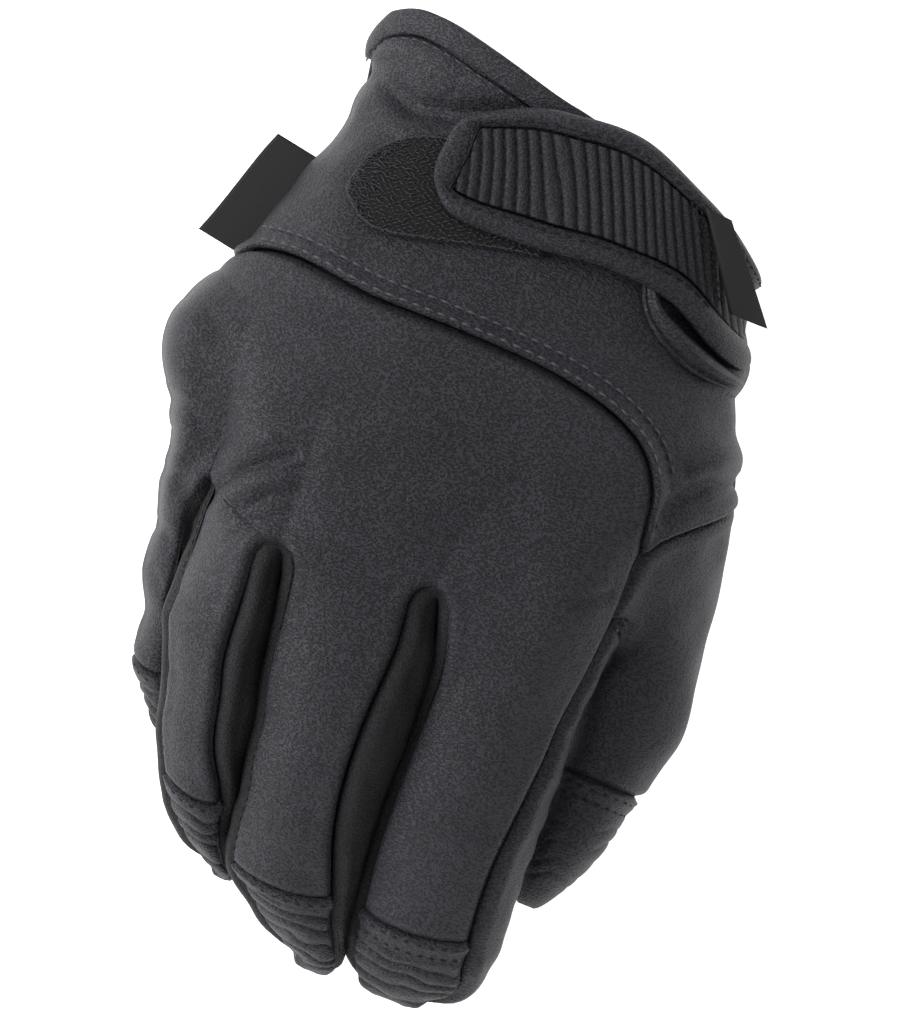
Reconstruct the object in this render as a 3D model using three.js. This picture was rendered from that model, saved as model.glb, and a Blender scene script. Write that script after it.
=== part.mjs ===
// Right-hand leather work glove, lying palm down with its back up.
// X points to the thumb, Y to the wrist and Z up. The origin is the middle of the palm heel's flat underside.
import * as THREE from 'three';

// Driving sizes, in millimetres
const handWidth = 100; // across the finger roots
const handHeight = 50; // knuckles over the table
const cuffReach = 86.7; // middle of the back to the cuff edge
const tipReach = 100; // middle of the back to the line of the fingertips
const littleReach = 65; // middle of the back to each tip
const ringReach = 88.5;
const middleReach = 99.3;
const indexReach = 98.8;
const thumbReach = 70;
const leather = 2; // leather with its liner
const hemDepth = 4.5; // cuff hem along the hand
const hemFold = 0.7; // hem's folded edge, proud of the leather on each side
const seamGap = 0.3; // between two sewn edges
const fingerGap = 0.5; // between two neighbouring fingers
const tipRound = 11; // rounded end of a finger
const thumbRound = 13;
const slotRound = 5; // rounded end of the slot between two fingers
const creaseRound = 26; // the same between little and ring finger
const slotRise = 0.92; // how level the back is across the fingers at their slots
const riseLength = 30; // over which that dies out along the finger
const levelEdge = 0.6; // share of an outer finger's width over which it falls to its outer side
const webSlope = 4; // palm side of a slot, nearer the tips
const padThick = 1.7; // loop pad
const strapThick = 2.6; // strap's rolled edge
const insertThick = 2.2;
const bindingWidth = 5.2; // strap's rolled edge, lower side and end
const upperBinding = 3.2;
const ribHeight = 0.5; // ribs on the fingertip caps
const ribPitch = 2.1;
const strapRibPitch = 3.1;
const strapRibHeight = 0.7;
const tagThick = 1.1;
const sideTagWidth = 9;
const sideTagLength = 24.5;
const strapTagWidth = 8;
const strapTagLift = 3.5; // its free corner
const gussetThick = 3.8; // folded gusset

// Middle of the palm heel from the middle of the back, in shares of handWidth and tipReach
const heel = { across: -0.05, along: 0.35 };

// Forms of the sections: 1 is an ellipse, less is squarer
const handSquare = 0.86;
const thumbSquare = 0.9;
const widestLine = 0.45; // height of the hand's widest line, as a share of its section
const tipWidth = 0.5; // what is left of a finger's width at the very end, and of the thumb's
const thumbTipWidth = 0.45;
const tipWall = 0.3; // the same of the wall's thickness there, and least inner share of a width
const seamFade = 0.12; // last share of a finger, where its seams run together on the tip
const seamReach = 0.9; // most of half a finger's width that a side strip takes
const underSeam = 35; // angle of the seams under a finger
const wrapLeft = { back: 187, palm: 171 }; // where the two panels meet on the little finger's side

// Sections of the hand from the cuff (at 0) to the finger slots (at 1), in shares of handWidth and handHeight
const handSections = [
  { at: 0.0, left: -0.523, right: 0.375, top: 0.84, under: -0.06 },
  { at: 0.17, left: -0.5, right: 0.405, top: 0.8, under: -0.06 },
  { at: 0.35, left: -0.553, right: 0.458, top: 0.89, under: -0.06 },
  { at: 0.5, left: -0.595, right: 0.515, top: 0.98, under: -0.06 },
  { at: 0.6, left: -0.63, right: 0.538, top: 1.02, under: -0.05 },
  { at: 0.7, left: -0.667, right: 0.53, top: 1.05, under: 0.0 },
  { at: 0.8, left: -0.677, right: 0.5, top: 1.07, under: 0.12 },
  { at: 0.9, left: -0.648, right: 0.455, top: 1.06, under: 0.25 },
  { at: 1.0, left: -0.59, right: 0.42, top: 1.04, under: 0.36 },
];
// Cuff edge round the hand, in shares of cuffReach, by the cosine of the angle round the hand
const cuffEdge = [
  { cosine: -1, along: 1.04 },
  { cosine: -0.88, along: 1.075 },
  { cosine: -0.75, along: 1.09 },
  { cosine: -0.4, along: 1.055 },
  { cosine: 0, along: 1 },
  { cosine: 0.55, along: 0.917 },
  { cosine: 1, along: 0.82 },
];
// Where the slots between the fingers start, in shares of tipReach, by the cosine round the hand
const slotLine = [
  { cosine: -1, along: -0.08 },
  { cosine: -0.75, along: -0.12 },
  { cosine: -0.37, along: -0.194 },
  { cosine: 0.28, along: -0.162 },
  { cosine: 0.95, along: -0.075 },
  { cosine: 1, along: -0.07 },
];
// Wrist seam round the hand: angle from the thumb side over the back, and share of the hand's length
const wristSeam = [
  { angle: -171, at: 0.56 },
  { angle: -150, at: 0.5 },
  { angle: -110, at: 0.38 },
  { angle: -70, at: 0.4 },
  { angle: -38, at: 0.5 },
  { angle: 0, at: 0.6 },
  { angle: 20, at: 0.69 },
  { angle: 33, at: 0.77 },
  { angle: 36, at: 0.8 },
  { angle: 40, at: 0.735 },
  { angle: 45, at: 0.655 },
  { angle: 57, at: 0.55 },
  { angle: 74, at: 0.5 },
  { angle: 96, at: 0.493 },
  { angle: 136, at: 0.534 },
  { angle: 187, at: 0.56 },
];
// Limits of the fingers across the hand, in shares of tipReach and handWidth, from the tips to the wrist
const littleOuter = [
  { along: -0.65, across: -0.42 },
  { along: -0.6, across: -0.45 },
  { along: -0.54, across: -0.494 },
  { along: -0.47, across: -0.512 },
  { along: -0.42, across: -0.515 },
  { along: -0.35, across: -0.55 },
  { along: -0.25, across: -0.56 },
  { along: -0.15, across: -0.588 },
  { along: -0.08, across: -0.593 },
  { along: 0.2, across: -0.66 },
];
const littleInner = [
  { along: -0.65, across: -0.345 },
  { along: -0.6, across: -0.362 },
  { along: -0.5, across: -0.388 },
  { along: -0.42, across: -0.415 },
  { along: -0.35, across: -0.438 },
  { along: -0.28, across: -0.466 },
  { along: -0.2, across: -0.486 },
  { along: -0.12, across: -0.479 },
  { along: 0.2, across: -0.497 },
];
const ringOuter = [
  { along: -0.87, across: -0.2 },
  { along: -0.83, across: -0.265 },
  { along: -0.775, across: -0.325 },
  { along: -0.7, across: -0.365 },
  { along: -0.625, across: -0.4 },
  { along: -0.56, across: -0.415 },
  { along: -0.46, across: -0.45 },
  { along: -0.4, across: -0.47 },
  { along: -0.19, across: -0.479 },
  { along: -0.12, across: -0.472 },
  { along: 0.2, across: -0.49 },
];
const ringMiddle = [
  { along: -0.97, across: 0.02 },
  { along: -0.93, across: -0.05 },
  { along: -0.88, across: -0.115 },
  { along: -0.84, across: -0.158 },
  { along: -0.76, across: -0.178 },
  { along: -0.7, across: -0.183 },
  { along: -0.625, across: -0.2 },
  { along: -0.54, across: -0.212 },
  { along: -0.45, across: -0.236 },
  { along: -0.31, across: -0.258 },
  { along: -0.194, across: -0.277 },
  { along: 0.2, across: -0.29 },
];
const middleIndex = [
  { along: -0.96, across: 0.152 },
  { along: -0.9, across: 0.128 },
  { along: -0.8, across: 0.114 },
  { along: -0.7, across: 0.102 },
  { along: -0.6, across: 0.095 },
  { along: -0.42, across: 0.089 },
  { along: -0.3, across: 0.083 },
  { along: -0.162, across: 0.053 },
  { along: 0.2, across: 0.045 },
];
const indexOuter = [
  { along: -0.96, across: 0.365 },
  { along: -0.925, across: 0.408 },
  { along: -0.875, across: 0.426 },
  { along: -0.81, across: 0.432 },
  { along: -0.62, across: 0.42 },
  { along: -0.41, across: 0.412 },
  { along: -0.3, across: 0.404 },
  { along: -0.075, across: 0.418 },
  { along: 0.2, across: 0.42 },
];
// Fingers from slot (at 0) to tip (at 1): seams in from the limits as shares of handWidth, crest and
// underside as shares of handHeight, and lean to the thumb side as a slope
const fingers = [
  {
    name: 'little', reach: littleReach, left: littleOuter, right: littleInner, cap: 0.78,
    rows: [
      { at: -0.5, seamLeft: 0, seamRight: 0.02, crest: 0.86, under: 0.3, lean: 0.3 },
      { at: 0, seamLeft: 0, seamRight: 0.02, crest: 0.72, under: 0.2, lean: 0.22 },
      { at: 0.2, seamLeft: 0, seamRight: 0.015, crest: 0.57, under: 0.1, lean: 0.1 },
      { at: 0.45, seamLeft: 0, seamRight: 0.01, crest: 0.45, under: 0.03, lean: 0 },
      { at: 0.65, seamLeft: 0, seamRight: 0.01, crest: 0.4, under: 0, lean: 0 },
      { at: 0.8, seamLeft: 0, seamRight: 0.01, crest: 0.35, under: 0, lean: 0 },
      { at: 1, seamLeft: 0, seamRight: 0.01, crest: 0.28, under: 0, lean: 0 },
    ],
  },
  {
    name: 'ring', reach: ringReach, left: ringOuter, right: ringMiddle, cap: 0.8,
    rows: [
      { at: -0.5, seamLeft: 0.004, seamRight: 0.01, crest: 1.03, under: 0.3, lean: 0.1 },
      { at: 0, seamLeft: 0.004, seamRight: 0.062, crest: 0.98, under: 0.42, lean: 0.14 },
      { at: 0.2, seamLeft: 0.004, seamRight: 0.074, crest: 0.9, under: 0.43, lean: 0.15 },
      { at: 0.45, seamLeft: 0.004, seamRight: 0.084, crest: 0.79, under: 0.34, lean: 0.15 },
      { at: 0.65, seamLeft: 0.004, seamRight: 0.07, crest: 0.66, under: 0.22, lean: 0.12 },
      { at: 0.8, seamLeft: 0.005, seamRight: 0.025, crest: 0.54, under: 0.1, lean: 0.08 },
      { at: 0.92, seamLeft: 0.008, seamRight: 0.01, crest: 0.42, under: 0.02, lean: 0.04 },
      { at: 1, seamLeft: 0.008, seamRight: 0.01, crest: 0.33, under: 0, lean: 0 },
    ],
  },
  {
    name: 'middle', reach: middleReach, left: ringMiddle, right: middleIndex, cap: 0.82,
    rows: [
      { at: -0.5, seamLeft: 0.01, seamRight: 0.01, crest: 1.09, under: 0.32, lean: 0 },
      { at: 0, seamLeft: 0.01, seamRight: 0.06, crest: 1.06, under: 0.45, lean: 0 },
      { at: 0.2, seamLeft: 0.008, seamRight: 0.08, crest: 1.0, under: 0.46, lean: 0 },
      { at: 0.45, seamLeft: 0.007, seamRight: 0.09, crest: 0.88, under: 0.37, lean: 0 },
      { at: 0.65, seamLeft: 0.007, seamRight: 0.075, crest: 0.74, under: 0.24, lean: 0 },
      { at: 0.8, seamLeft: 0.007, seamRight: 0.043, crest: 0.6, under: 0.12, lean: 0 },
      { at: 0.92, seamLeft: 0.01, seamRight: 0.02, crest: 0.46, under: 0.02, lean: 0 },
      { at: 1, seamLeft: 0.01, seamRight: 0.02, crest: 0.36, under: 0, lean: 0 },
    ],
  },
  {
    name: 'index', reach: indexReach, left: middleIndex, right: indexOuter, cap: 0.82,
    rows: [
      { at: -0.5, seamLeft: 0.01, seamRight: 0.03, crest: 1.06, under: 0.3, lean: -0.02 },
      { at: 0, seamLeft: 0.009, seamRight: 0.02, crest: 1.0, under: 0.4, lean: -0.03 },
      { at: 0.2, seamLeft: 0.012, seamRight: 0.022, crest: 0.93, under: 0.42, lean: -0.03 },
      { at: 0.45, seamLeft: 0.012, seamRight: 0.044, crest: 0.83, under: 0.33, lean: -0.03 },
      { at: 0.65, seamLeft: 0.011, seamRight: 0.062, crest: 0.7, under: 0.21, lean: -0.03 },
      { at: 0.8, seamLeft: 0.013, seamRight: 0.06, crest: 0.57, under: 0.1, lean: -0.02 },
      { at: 0.92, seamLeft: 0.012, seamRight: 0.035, crest: 0.44, under: 0.02, lean: 0 },
      { at: 1, seamLeft: 0.012, seamRight: 0.03, crest: 0.35, under: 0, lean: 0 },
    ],
  },
];
// Thumb from its root (at 0) to its tip (at 1): left and right end of each section, as shares of handWidth
// across and thumbReach along, and its top and underside as shares of handHeight
const thumbSections = [
  { at: 0.0, leftX: 0.435, leftY: -0.143, rightX: 0.56, rightY: 0.286, top: 0.7, under: 0.06 },
  { at: 0.22, leftX: 0.41, leftY: -0.229, rightX: 0.582, rightY: 0.057, top: 0.62, under: 0.03 },
  { at: 0.4, leftX: 0.385, leftY: -0.314, rightX: 0.6, rightY: -0.157, top: 0.57, under: 0.02 },
  { at: 0.55, leftX: 0.378, leftY: -0.429, rightX: 0.621, rightY: -0.371, top: 0.53, under: 0.01 },
  { at: 0.7, leftX: 0.385, leftY: -0.586, rightX: 0.582, rightY: -0.586, top: 0.49, under: 0 },
  { at: 0.85, leftX: 0.388, leftY: -0.771, rightX: 0.556, rightY: -0.771, top: 0.44, under: 0 },
  { at: 1, leftX: 0.4, leftY: -1, rightX: 0.5, rightY: -1, top: 0.36, under: 0 },
];
const thumbCap = 0.7;
// Closure strap from its rounded end (at 0) to its root at the side: angle round the hand, and its two edges
// as shares of the hand's length
const strapRows = [
  { at: 0.0, angle: 119, upper: 0.19, lower: 0.22 },
  { at: 0.04, angle: 116, upper: 0.14, lower: 0.26 },
  { at: 0.12, angle: 108, upper: 0.095, lower: 0.298 },
  { at: 0.3, angle: 92, upper: 0.022, lower: 0.288 },
  { at: 0.5, angle: 75, upper: -0.024, lower: 0.252 },
  { at: 0.7, angle: 55, upper: -0.016, lower: 0.235 },
  { at: 0.85, angle: 32, upper: -0.01, lower: 0.266 },
  { at: 1.0, angle: -4, upper: 0.03, lower: 0.248 },
];
// Loop pad: angle round the hand and its two edges as shares of the hand's length
const padRows = [
  { at: 0.0, angle: 137, upper: 0.31, lower: 0.36 },
  { at: 0.08, angle: 134.5, upper: 0.272, lower: 0.385 },
  { at: 0.3, angle: 125, upper: 0.212, lower: 0.41 },
  { at: 0.6, angle: 111, upper: 0.172, lower: 0.374 },
  { at: 1.0, angle: 88, upper: 0.15, lower: 0.295 },
];
// Folded gusset under the strap's root, round its opening in a U: outer and inner edge, by angle and share of
// the hand's length, and height as a share of gussetThick
const gussetRows = [
  { at: 0.0, outerAngle: 63, outer: 0.264, innerAngle: 59, inner: 0.262, high: 0.5 },
  { at: 0.12, outerAngle: 61.5, outer: 0.285, innerAngle: 57.5, inner: 0.27, high: 0.6 },
  { at: 0.28, outerAngle: 57.5, outer: 0.319, innerAngle: 53, inner: 0.283, high: 0.75 },
  { at: 0.45, outerAngle: 50, outer: 0.345, innerAngle: 46, inner: 0.292, high: 0.85 },
  { at: 0.65, outerAngle: 39, outer: 0.355, innerAngle: 36, inner: 0.294, high: 0.95 },
  { at: 0.82, outerAngle: 21, outer: 0.337, innerAngle: 22, inner: 0.291, high: 1 },
  { at: 0.92, outerAngle: 5, outer: 0.318, innerAngle: 9, inner: 0.286, high: 1 },
  { at: 1.0, outerAngle: -8, outer: 0.28, innerAngle: -2, inner: 0.266, high: 0.9 },
];

// Inner edge of the strap's tag: shares of the hand's length and angles of its ends, and how far it is skewed
const strapTagPlace = { upper: 0.012, lower: 0.177, upperAngle: 53, lowerAngle: 33.5, skew: 0.02 };
const sideTagStart = 0.29; // share of the hand's length where the side tag begins

// Number of steps in each grid
const columnsInFinger = 4;
const slotSteps = [0, 0.02, 0.045, 0.1, 0.2, 0.34, 0.48, 0.62, 0.74];
const tipSteps = [0.87, 0.91, 0.94, 0.965, 0.985];
const capUnder = [0.985, 0.965, 0.94];

const radians = THREE.MathUtils.degToRad;
const mix = THREE.MathUtils.lerp;
const clamp = THREE.MathUtils.clamp;
const ease = (value) => THREE.MathUtils.smoothstep(value, 0, 1);

// Reads a column of a table at a place along it, with smooth tangents, and runs on straight outside it.
function read(rows, by, column, place) {
  const last = rows.length - 1;
  if (place <= rows[0][by]) return rows[0][column];
  if (place >= rows[last][by]) return rows[last][column];
  let i = 0;
  while (place > rows[i + 1][by]) i += 1;
  const slope = (j) => {
    const from = rows[Math.max(j - 1, 0)];
    const to = rows[Math.min(j + 1, last)];
    return (to[column] - from[column]) / (to[by] - from[by]);
  };
  const span = rows[i + 1][by] - rows[i][by];
  const u = (place - rows[i][by]) / span;
  const hold = (1 + 2 * u) * (1 - u) ** 2 * rows[i][column] + u * u * (3 - 2 * u) * rows[i + 1][column];
  return hold + span * (u * (1 - u) ** 2 * slope(i) - u * u * (1 - u) * slope(i + 1));
}

// A power of a sine or cosine that keeps its sign: it squares off an ellipse.
const bulge = (value, power) => Math.sign(value) * Math.abs(value) ** power;

const cuffLine = (cosine) => cuffReach * read(cuffEdge, 'cosine', 'along', cosine);

// Y of the finger slots round the hand: the palm side lies nearer the tips.
function slotY(angle) {
  const sine = Math.sin(radians(angle));
  const line = read(slotLine, 'cosine', 'along', Math.cos(radians(angle)));
  return tipReach * line - (webSlope * (1 - sine)) / 2;
}

const handY = (at, angle) => mix(cuffLine(Math.cos(radians(angle))), slotY(angle), at);
const handLength = (angle) => cuffLine(Math.cos(radians(angle))) - slotY(angle);

// The round hand tube at a share of its length and an angle, so deep under its outer face: [x, z].
function tube(at, angle, deep) {
  const [left, right] = ['left', 'right'].map((side) => handWidth * read(handSections, 'at', side, at));
  const [top, under] = ['top', 'under'].map((side) => handHeight * read(handSections, 'at', side, at));
  const middle = mix(under, top, widestLine);
  const sine = Math.sin(radians(angle));
  const half = sine > 0 ? top - middle : middle - under;
  const x = (left + right) / 2 + ((right - left) / 2 - deep) * bulge(Math.cos(radians(angle)), handSquare);
  return [x, Math.max(middle + (half - deep) * bulge(sine, handSquare), deep, 0)];
}

// Angles round the hand where its panels meet
const fingerBorders = [139, 112, 74];
const backEdge = (at) => mix(36, 21, ease((at - 0.8) / 0.2));
const palmEdge = (at) => mix(38, 28, ease((at - 0.5) / 0.5));
const borderAngles = (at, side) => (side > 0
  ? [wrapLeft.back, ...fingerBorders, backEdge(at)]
  : [wrapLeft.palm, ...fingerBorders, palmEdge(at)]);

// From a finger's slot to its tip
const fingerLength = (finger) => finger.reach + tipReach * slotLine[2].along;

// A finger's measures at a share of its length; its limits follow the Y of its own two edges.
function measures(finger, at, deep) {
  const k = fingers.indexOf(finger);
  const angles = borderAngles(1, 1);
  const tip = -finger.reach;
  const edgeY = (angle) => mix(slotY(angle), tip, at) / tipReach;
  const shrink = 1 - clamp((at - 1) * (fingerLength(finger) / tipRound) + 1, 0, 1) ** 2;
  const round = Math.sqrt(shrink);
  const gap = fingerGap / 2;
  const left = handWidth * read(finger.left, 'along', 'across', edgeY(angles[k])) + gap;
  const right = handWidth * read(finger.right, 'along', 'across', edgeY(angles[k + 1])) - gap;
  const crest = handHeight * read(finger.rows, 'at', 'crest', at);
  const under = handHeight * read(finger.rows, 'at', 'under', at);
  const half = (right - left) / 2;
  const seam = (side) => Math.min((handWidth * read(finger.rows, 'at', side, at)) / half, seamReach);
  const taper = clamp((1 - at) / seamFade, 0.02, 1) ** 0.8;
  const width = half * mix(tipWidth, 1, round);
  return {
    middle: (left + right) / 2,
    half: Math.max(width - deep, tipWall * width),
    centre: (crest + under) / 2,
    high: ((crest - under) / 2) * round - deep * mix(tipWall, 1, round),
    lean: read(finger.rows, 'at', 'lean', at),
    seamLeft: THREE.MathUtils.radToDeg(Math.acos(1 - seam('seamLeft'))) * taper,
    seamRight: THREE.MathUtils.radToDeg(Math.acos(1 - seam('seamRight'))) * taper,
    seamUnder: underSeam * taper,
  };
}

// A finger's section at an angle round it: [x, z].
function section(finger, at, angle, deep) {
  const m = measures(finger, at - deep / fingerLength(finger), deep);
  const outer = measures(finger, at, deep);
  const aside = outer.half * Math.cos(radians(angle));
  const high = Math.max(outer.high, 0);
  return [m.middle + aside, Math.max(m.centre + m.lean * aside + high * Math.sin(radians(angle)), deep, 0)];
}

// Angle of a finger's seam: edge is left or right, side is 1 on the back and -1 under the finger.
function seamAngle(finger, edge, at, side) {
  const m = measures(finger, at, 0);
  if (finger.name === 'little' && edge === 'left') return side > 0 ? wrapLeft.back : -wrapLeft.palm;
  const over = edge === 'left' ? m.seamLeft : m.seamRight;
  const turn = side > 0 ? over : m.seamUnder;
  return side * (edge === 'left' ? 180 - turn : turn);
}

// How far a slot has opened so far from its start, from 0 to 1
function opened(distance, roundness) {
  return Math.sqrt(1 - (1 - clamp(distance / roundness, 0, 1)) ** 2);
}

// How level the back of a finger lies with the hand, dying out along it
const levelled = (k, at) => slotRise * (1 - ease((Math.max(at, 0) * fingerLength(fingers[k])) / riseLength));

const neighbour = (k, edge) => (edge === 'left' ? k - 1 : k + 1);

// Height of the back between a finger and its neighbour: the lower of their crests
function levelBetween(k, edge, at) {
  const other = neighbour(k, edge);
  const share = (at * fingerLength(fingers[k])) / fingerLength(fingers[other]);
  const crest = (j, place) => read(fingers[j].rows, 'at', 'crest', place);
  return handHeight * Math.min(crest(k, at), crest(other, share));
}

// Shift that joins a finger's edge to its neighbour's at the slot and behind it; across runs from the back
// seam (0) to the palm seam (1).
function edgeShift(k, edge, at, across, deep) {
  const other = neighbour(k, edge);
  if (other < 0 || other >= fingers.length) return [0, 0];
  const base = Math.min(at, 0);
  const point = (j, side) => {
    const finger = fingers[j];
    const share = base * (fingerLength(fingers[k]) / fingerLength(finger));
    const over = seamAngle(finger, side, share, 1);
    const below = seamAngle(finger, side, share, -1);
    return section(finger, share, mix(over, side === 'left' ? below + 360 : below, across), deep);
  };
  const own = point(k, edge);
  const next = point(other, edge === 'left' ? 'right' : 'left');
  const crease = Math.min(k, other) === 0 ? creaseRound : slotRound;
  const fade = at <= 0 ? 1 : 1 - opened(at * fingerLength(fingers[k]), crease);
  return [((next[0] - own[0]) / 2) * fade, ((next[1] - own[1]) / 2) * fade];
}

// Back (side 1) or underside (side -1) of finger k: across runs from its left seam to its right one.
function strip(k, at, across, side, deep) {
  const finger = fingers[k];
  const leftAngle = seamAngle(finger, 'left', at, side);
  const angle = mix(leftAngle, seamAngle(finger, 'right', at, side), across);
  const [x, z] = section(finger, at, angle, deep);
  const seam = side > 0 ? 0 : 1;
  const left = edgeShift(k, 'left', at, seam, deep);
  const right = edgeShift(k, 'right', at, seam, deep);
  const pull = (axis) => left[axis] * (1 - across) ** 2 + right[axis] * across ** 2;
  const drawn = z + pull(1);
  if (side < 0) return [x + pull(0), drawn];
  const crest = handHeight * read(finger.rows, 'at', 'crest', at);
  let flat = crest;
  let held = levelled(k, at);
  for (const [edge, near] of [['left', 1 - across], ['right', across]]) {
    if (fingers[neighbour(k, edge)]) flat += (levelBetween(k, edge, at) - crest) * near ** 2;
    else held *= ease((1 - near) / levelEdge);
  }
  return [x + pull(0), drawn + held * (flat - deep - drawn)];
}

const blend = (at) => ease((at - 0.55) / 0.45);

// The hand's surface at a share of its length and an angle from the thumb side over the back.
function hand(at, angle, deep) {
  const back = backEdge(at);
  const palm = palmEdge(at);
  const settle = deep * ease((at - 0.6) / 0.4);
  const [x, z] = tube(at, angle, deep);
  const y = handY(at, angle) + Math.max(settle, 0);
  const weight = blend(at);
  if (weight === 0) return new THREE.Vector3(x, y, z);
  let soft;
  if (angle < back && angle > -palm) {
    soft = sideOfIndex(slotShare(at, 3), (back - angle) / (back + palm), deep);
  } else {
    const side = angle >= back ? 1 : -1;
    const borders = borderAngles(at, side);
    const turn = side * angle;
    let k = 0;
    while (k < 3 && turn < borders[k + 1]) k += 1;
    const across = (borders[k] - turn) / (borders[k] - borders[k + 1]);
    soft = strip(k, slotShare(at, k), across, side, deep);
  }
  return new THREE.Vector3(mix(x, soft[0], weight), y, mix(z, soft[1], weight));
}
const slotShare = (at, k) => ((at - 1) * (cuffReach + slotRound)) / fingerLength(fingers[k]);

// Thumb side of the index finger, from its back seam (across 0) to its palm seam (1).
function sideOfIndex(at, across, deep) {
  const over = seamAngle(fingers[3], 'right', at, 1);
  return section(fingers[3], at, mix(over, seamAngle(fingers[3], 'right', at, -1), across), deep);
}

// A point on a finger: at its share from slot to tip, across its strip from left to right.
function fingerPoint(k, at, across, side, deep) {
  const borders = borderAngles(1, side);
  const angle = side * mix(borders[k], borders[k + 1], across);
  const [x, z] = strip(k, at, across, side, deep);
  const share = Math.min(at, 1);
  return new THREE.Vector3(x, mix(slotY(angle), -fingers[k].reach, share) + deep, z);
}

// A point on the side of finger k, from its back seam to its palm seam.
function fingerSide(k, edge, at, across, deep) {
  const finger = fingers[k];
  const border = borderAngles(1, 1)[edge === 'left' ? k : k + 1];
  const over = seamAngle(finger, edge, at, 1);
  const below = seamAngle(finger, edge, at, -1) + (edge === 'left' ? 360 : 0);
  const [x, z] = section(finger, at, mix(over, below, across), deep);
  const shift = edgeShift(k, edge, at, across, deep);
  const start = mix(slotY(border), slotY(-border), across);
  let height = z + shift[1];
  if (fingers[neighbour(k, edge)]) {
    const seam = section(finger, at, over, deep)[1] + edgeShift(k, edge, at, 0, deep)[1];
    const drawn = mix(seam, height, across);
    height += levelled(k, at) * (1 - across) * (levelBetween(k, edge, at) - deep - drawn);
  }
  return new THREE.Vector3(x + shift[0], mix(start, -finger.reach, at) + deep, height);
}

// From the thumb's root to its tip
const thumbLength = thumbReach * (1 + thumbSections[0].rightY);

// Thumb tube: angle round its section, with 90 on top.
function thumbTube(at, angle, deep) {
  const value = (column) => read(thumbSections, 'at', column, at);
  const shrink = 1 - clamp(((at - 1) * thumbLength) / thumbRound + 1, 0, 1) ** 2;
  const round = Math.sqrt(shrink);
  const left = new THREE.Vector3(value('leftX') * handWidth, value('leftY') * thumbReach, 0);
  const right = new THREE.Vector3(value('rightX') * handWidth, value('rightY') * thumbReach, 0);
  const middle = left.clone().add(right).multiplyScalar(0.5);
  const aside = right.clone().sub(middle);
  const width = aside.length();
  aside.multiplyScalar((mix(thumbTipWidth, 1, round) * width - deep) / width);
  const high = ((value('top') - value('under')) / 2) * handHeight * round - deep * mix(tipWall, 1, round);
  const centre = ((value('top') + value('under')) / 2) * handHeight;
  const point = middle.addScaledVector(aside, bulge(Math.cos(radians(angle)), thumbSquare));
  point.z = Math.max(centre + Math.max(high, 0) * bulge(Math.sin(radians(angle)), thumbSquare), deep, 0);
  point.y += deep * ease(at * 3);
  return point;
}

// A closed leather wall between an outer and an inner sheet of points, over one list of faces.
function wall(outer, inner, faces) {
  const count = outer.length;
  const triangles = [];
  const edges = new Map();
  for (const [a, b, c, d] of faces) {
    for (const [p, q, r] of [[a, b, c], [a, c, d]]) {
      triangles.push(p, q, r, count + p, count + r, count + q);
      for (const [from, to] of [[p, q], [q, r], [r, p]]) {
        if (edges.has(`${to}_${from}`)) edges.delete(`${to}_${from}`);
        else edges.set(`${from}_${to}`, [from, to]);
      }
    }
  }
  for (const [from, to] of edges.values()) {
    triangles.push(to, from, count + from, to, count + from, count + to);
  }
  const positions = [...outer, ...inner].flatMap((point) => point.toArray());
  const geometry = new THREE.BufferGeometry();
  geometry.setAttribute('position', new THREE.Float32BufferAttribute(positions, 3));
  geometry.setIndex(volume(positions, triangles) < 0 ? turned(triangles) : triangles);
  return geometry;
}

function volume(positions, triangles) {
  const at = (i) => new THREE.Vector3().fromArray(positions, 3 * i);
  let sum = 0;
  for (let i = 0; i < triangles.length; i += 3) {
    sum += at(triangles[i]).dot(at(triangles[i + 1]).cross(at(triangles[i + 2])));
  }
  return sum;
}

function turned(triangles) {
  const list = [...triangles];
  for (let i = 0; i < list.length; i += 3) [list[i + 1], list[i + 2]] = [list[i + 2], list[i + 1]];
  return list;
}

// A wall over a plain grid: outer and inner give the point at row i and column j; a ring closes its columns.
function gridWall(rows, columns, outer, inner, ring = false) {
  const width = ring ? columns : columns + 1;
  const points = [[], []];
  for (let i = 0; i <= rows; i += 1) {
    for (let j = 0; j < width; j += 1) {
      points[0].push(outer(i, j));
      points[1].push(inner(i, j));
    }
  }
  const faces = [];
  for (let i = 0; i < rows; i += 1) {
    for (let j = 0; j < columns; j += 1) {
      const next = (j + 1) % width;
      faces.push([i * width + j, (i + 1) * width + j, (i + 1) * width + next, i * width + next]);
    }
  }
  return wall(points[0], points[1], faces);
}

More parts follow.
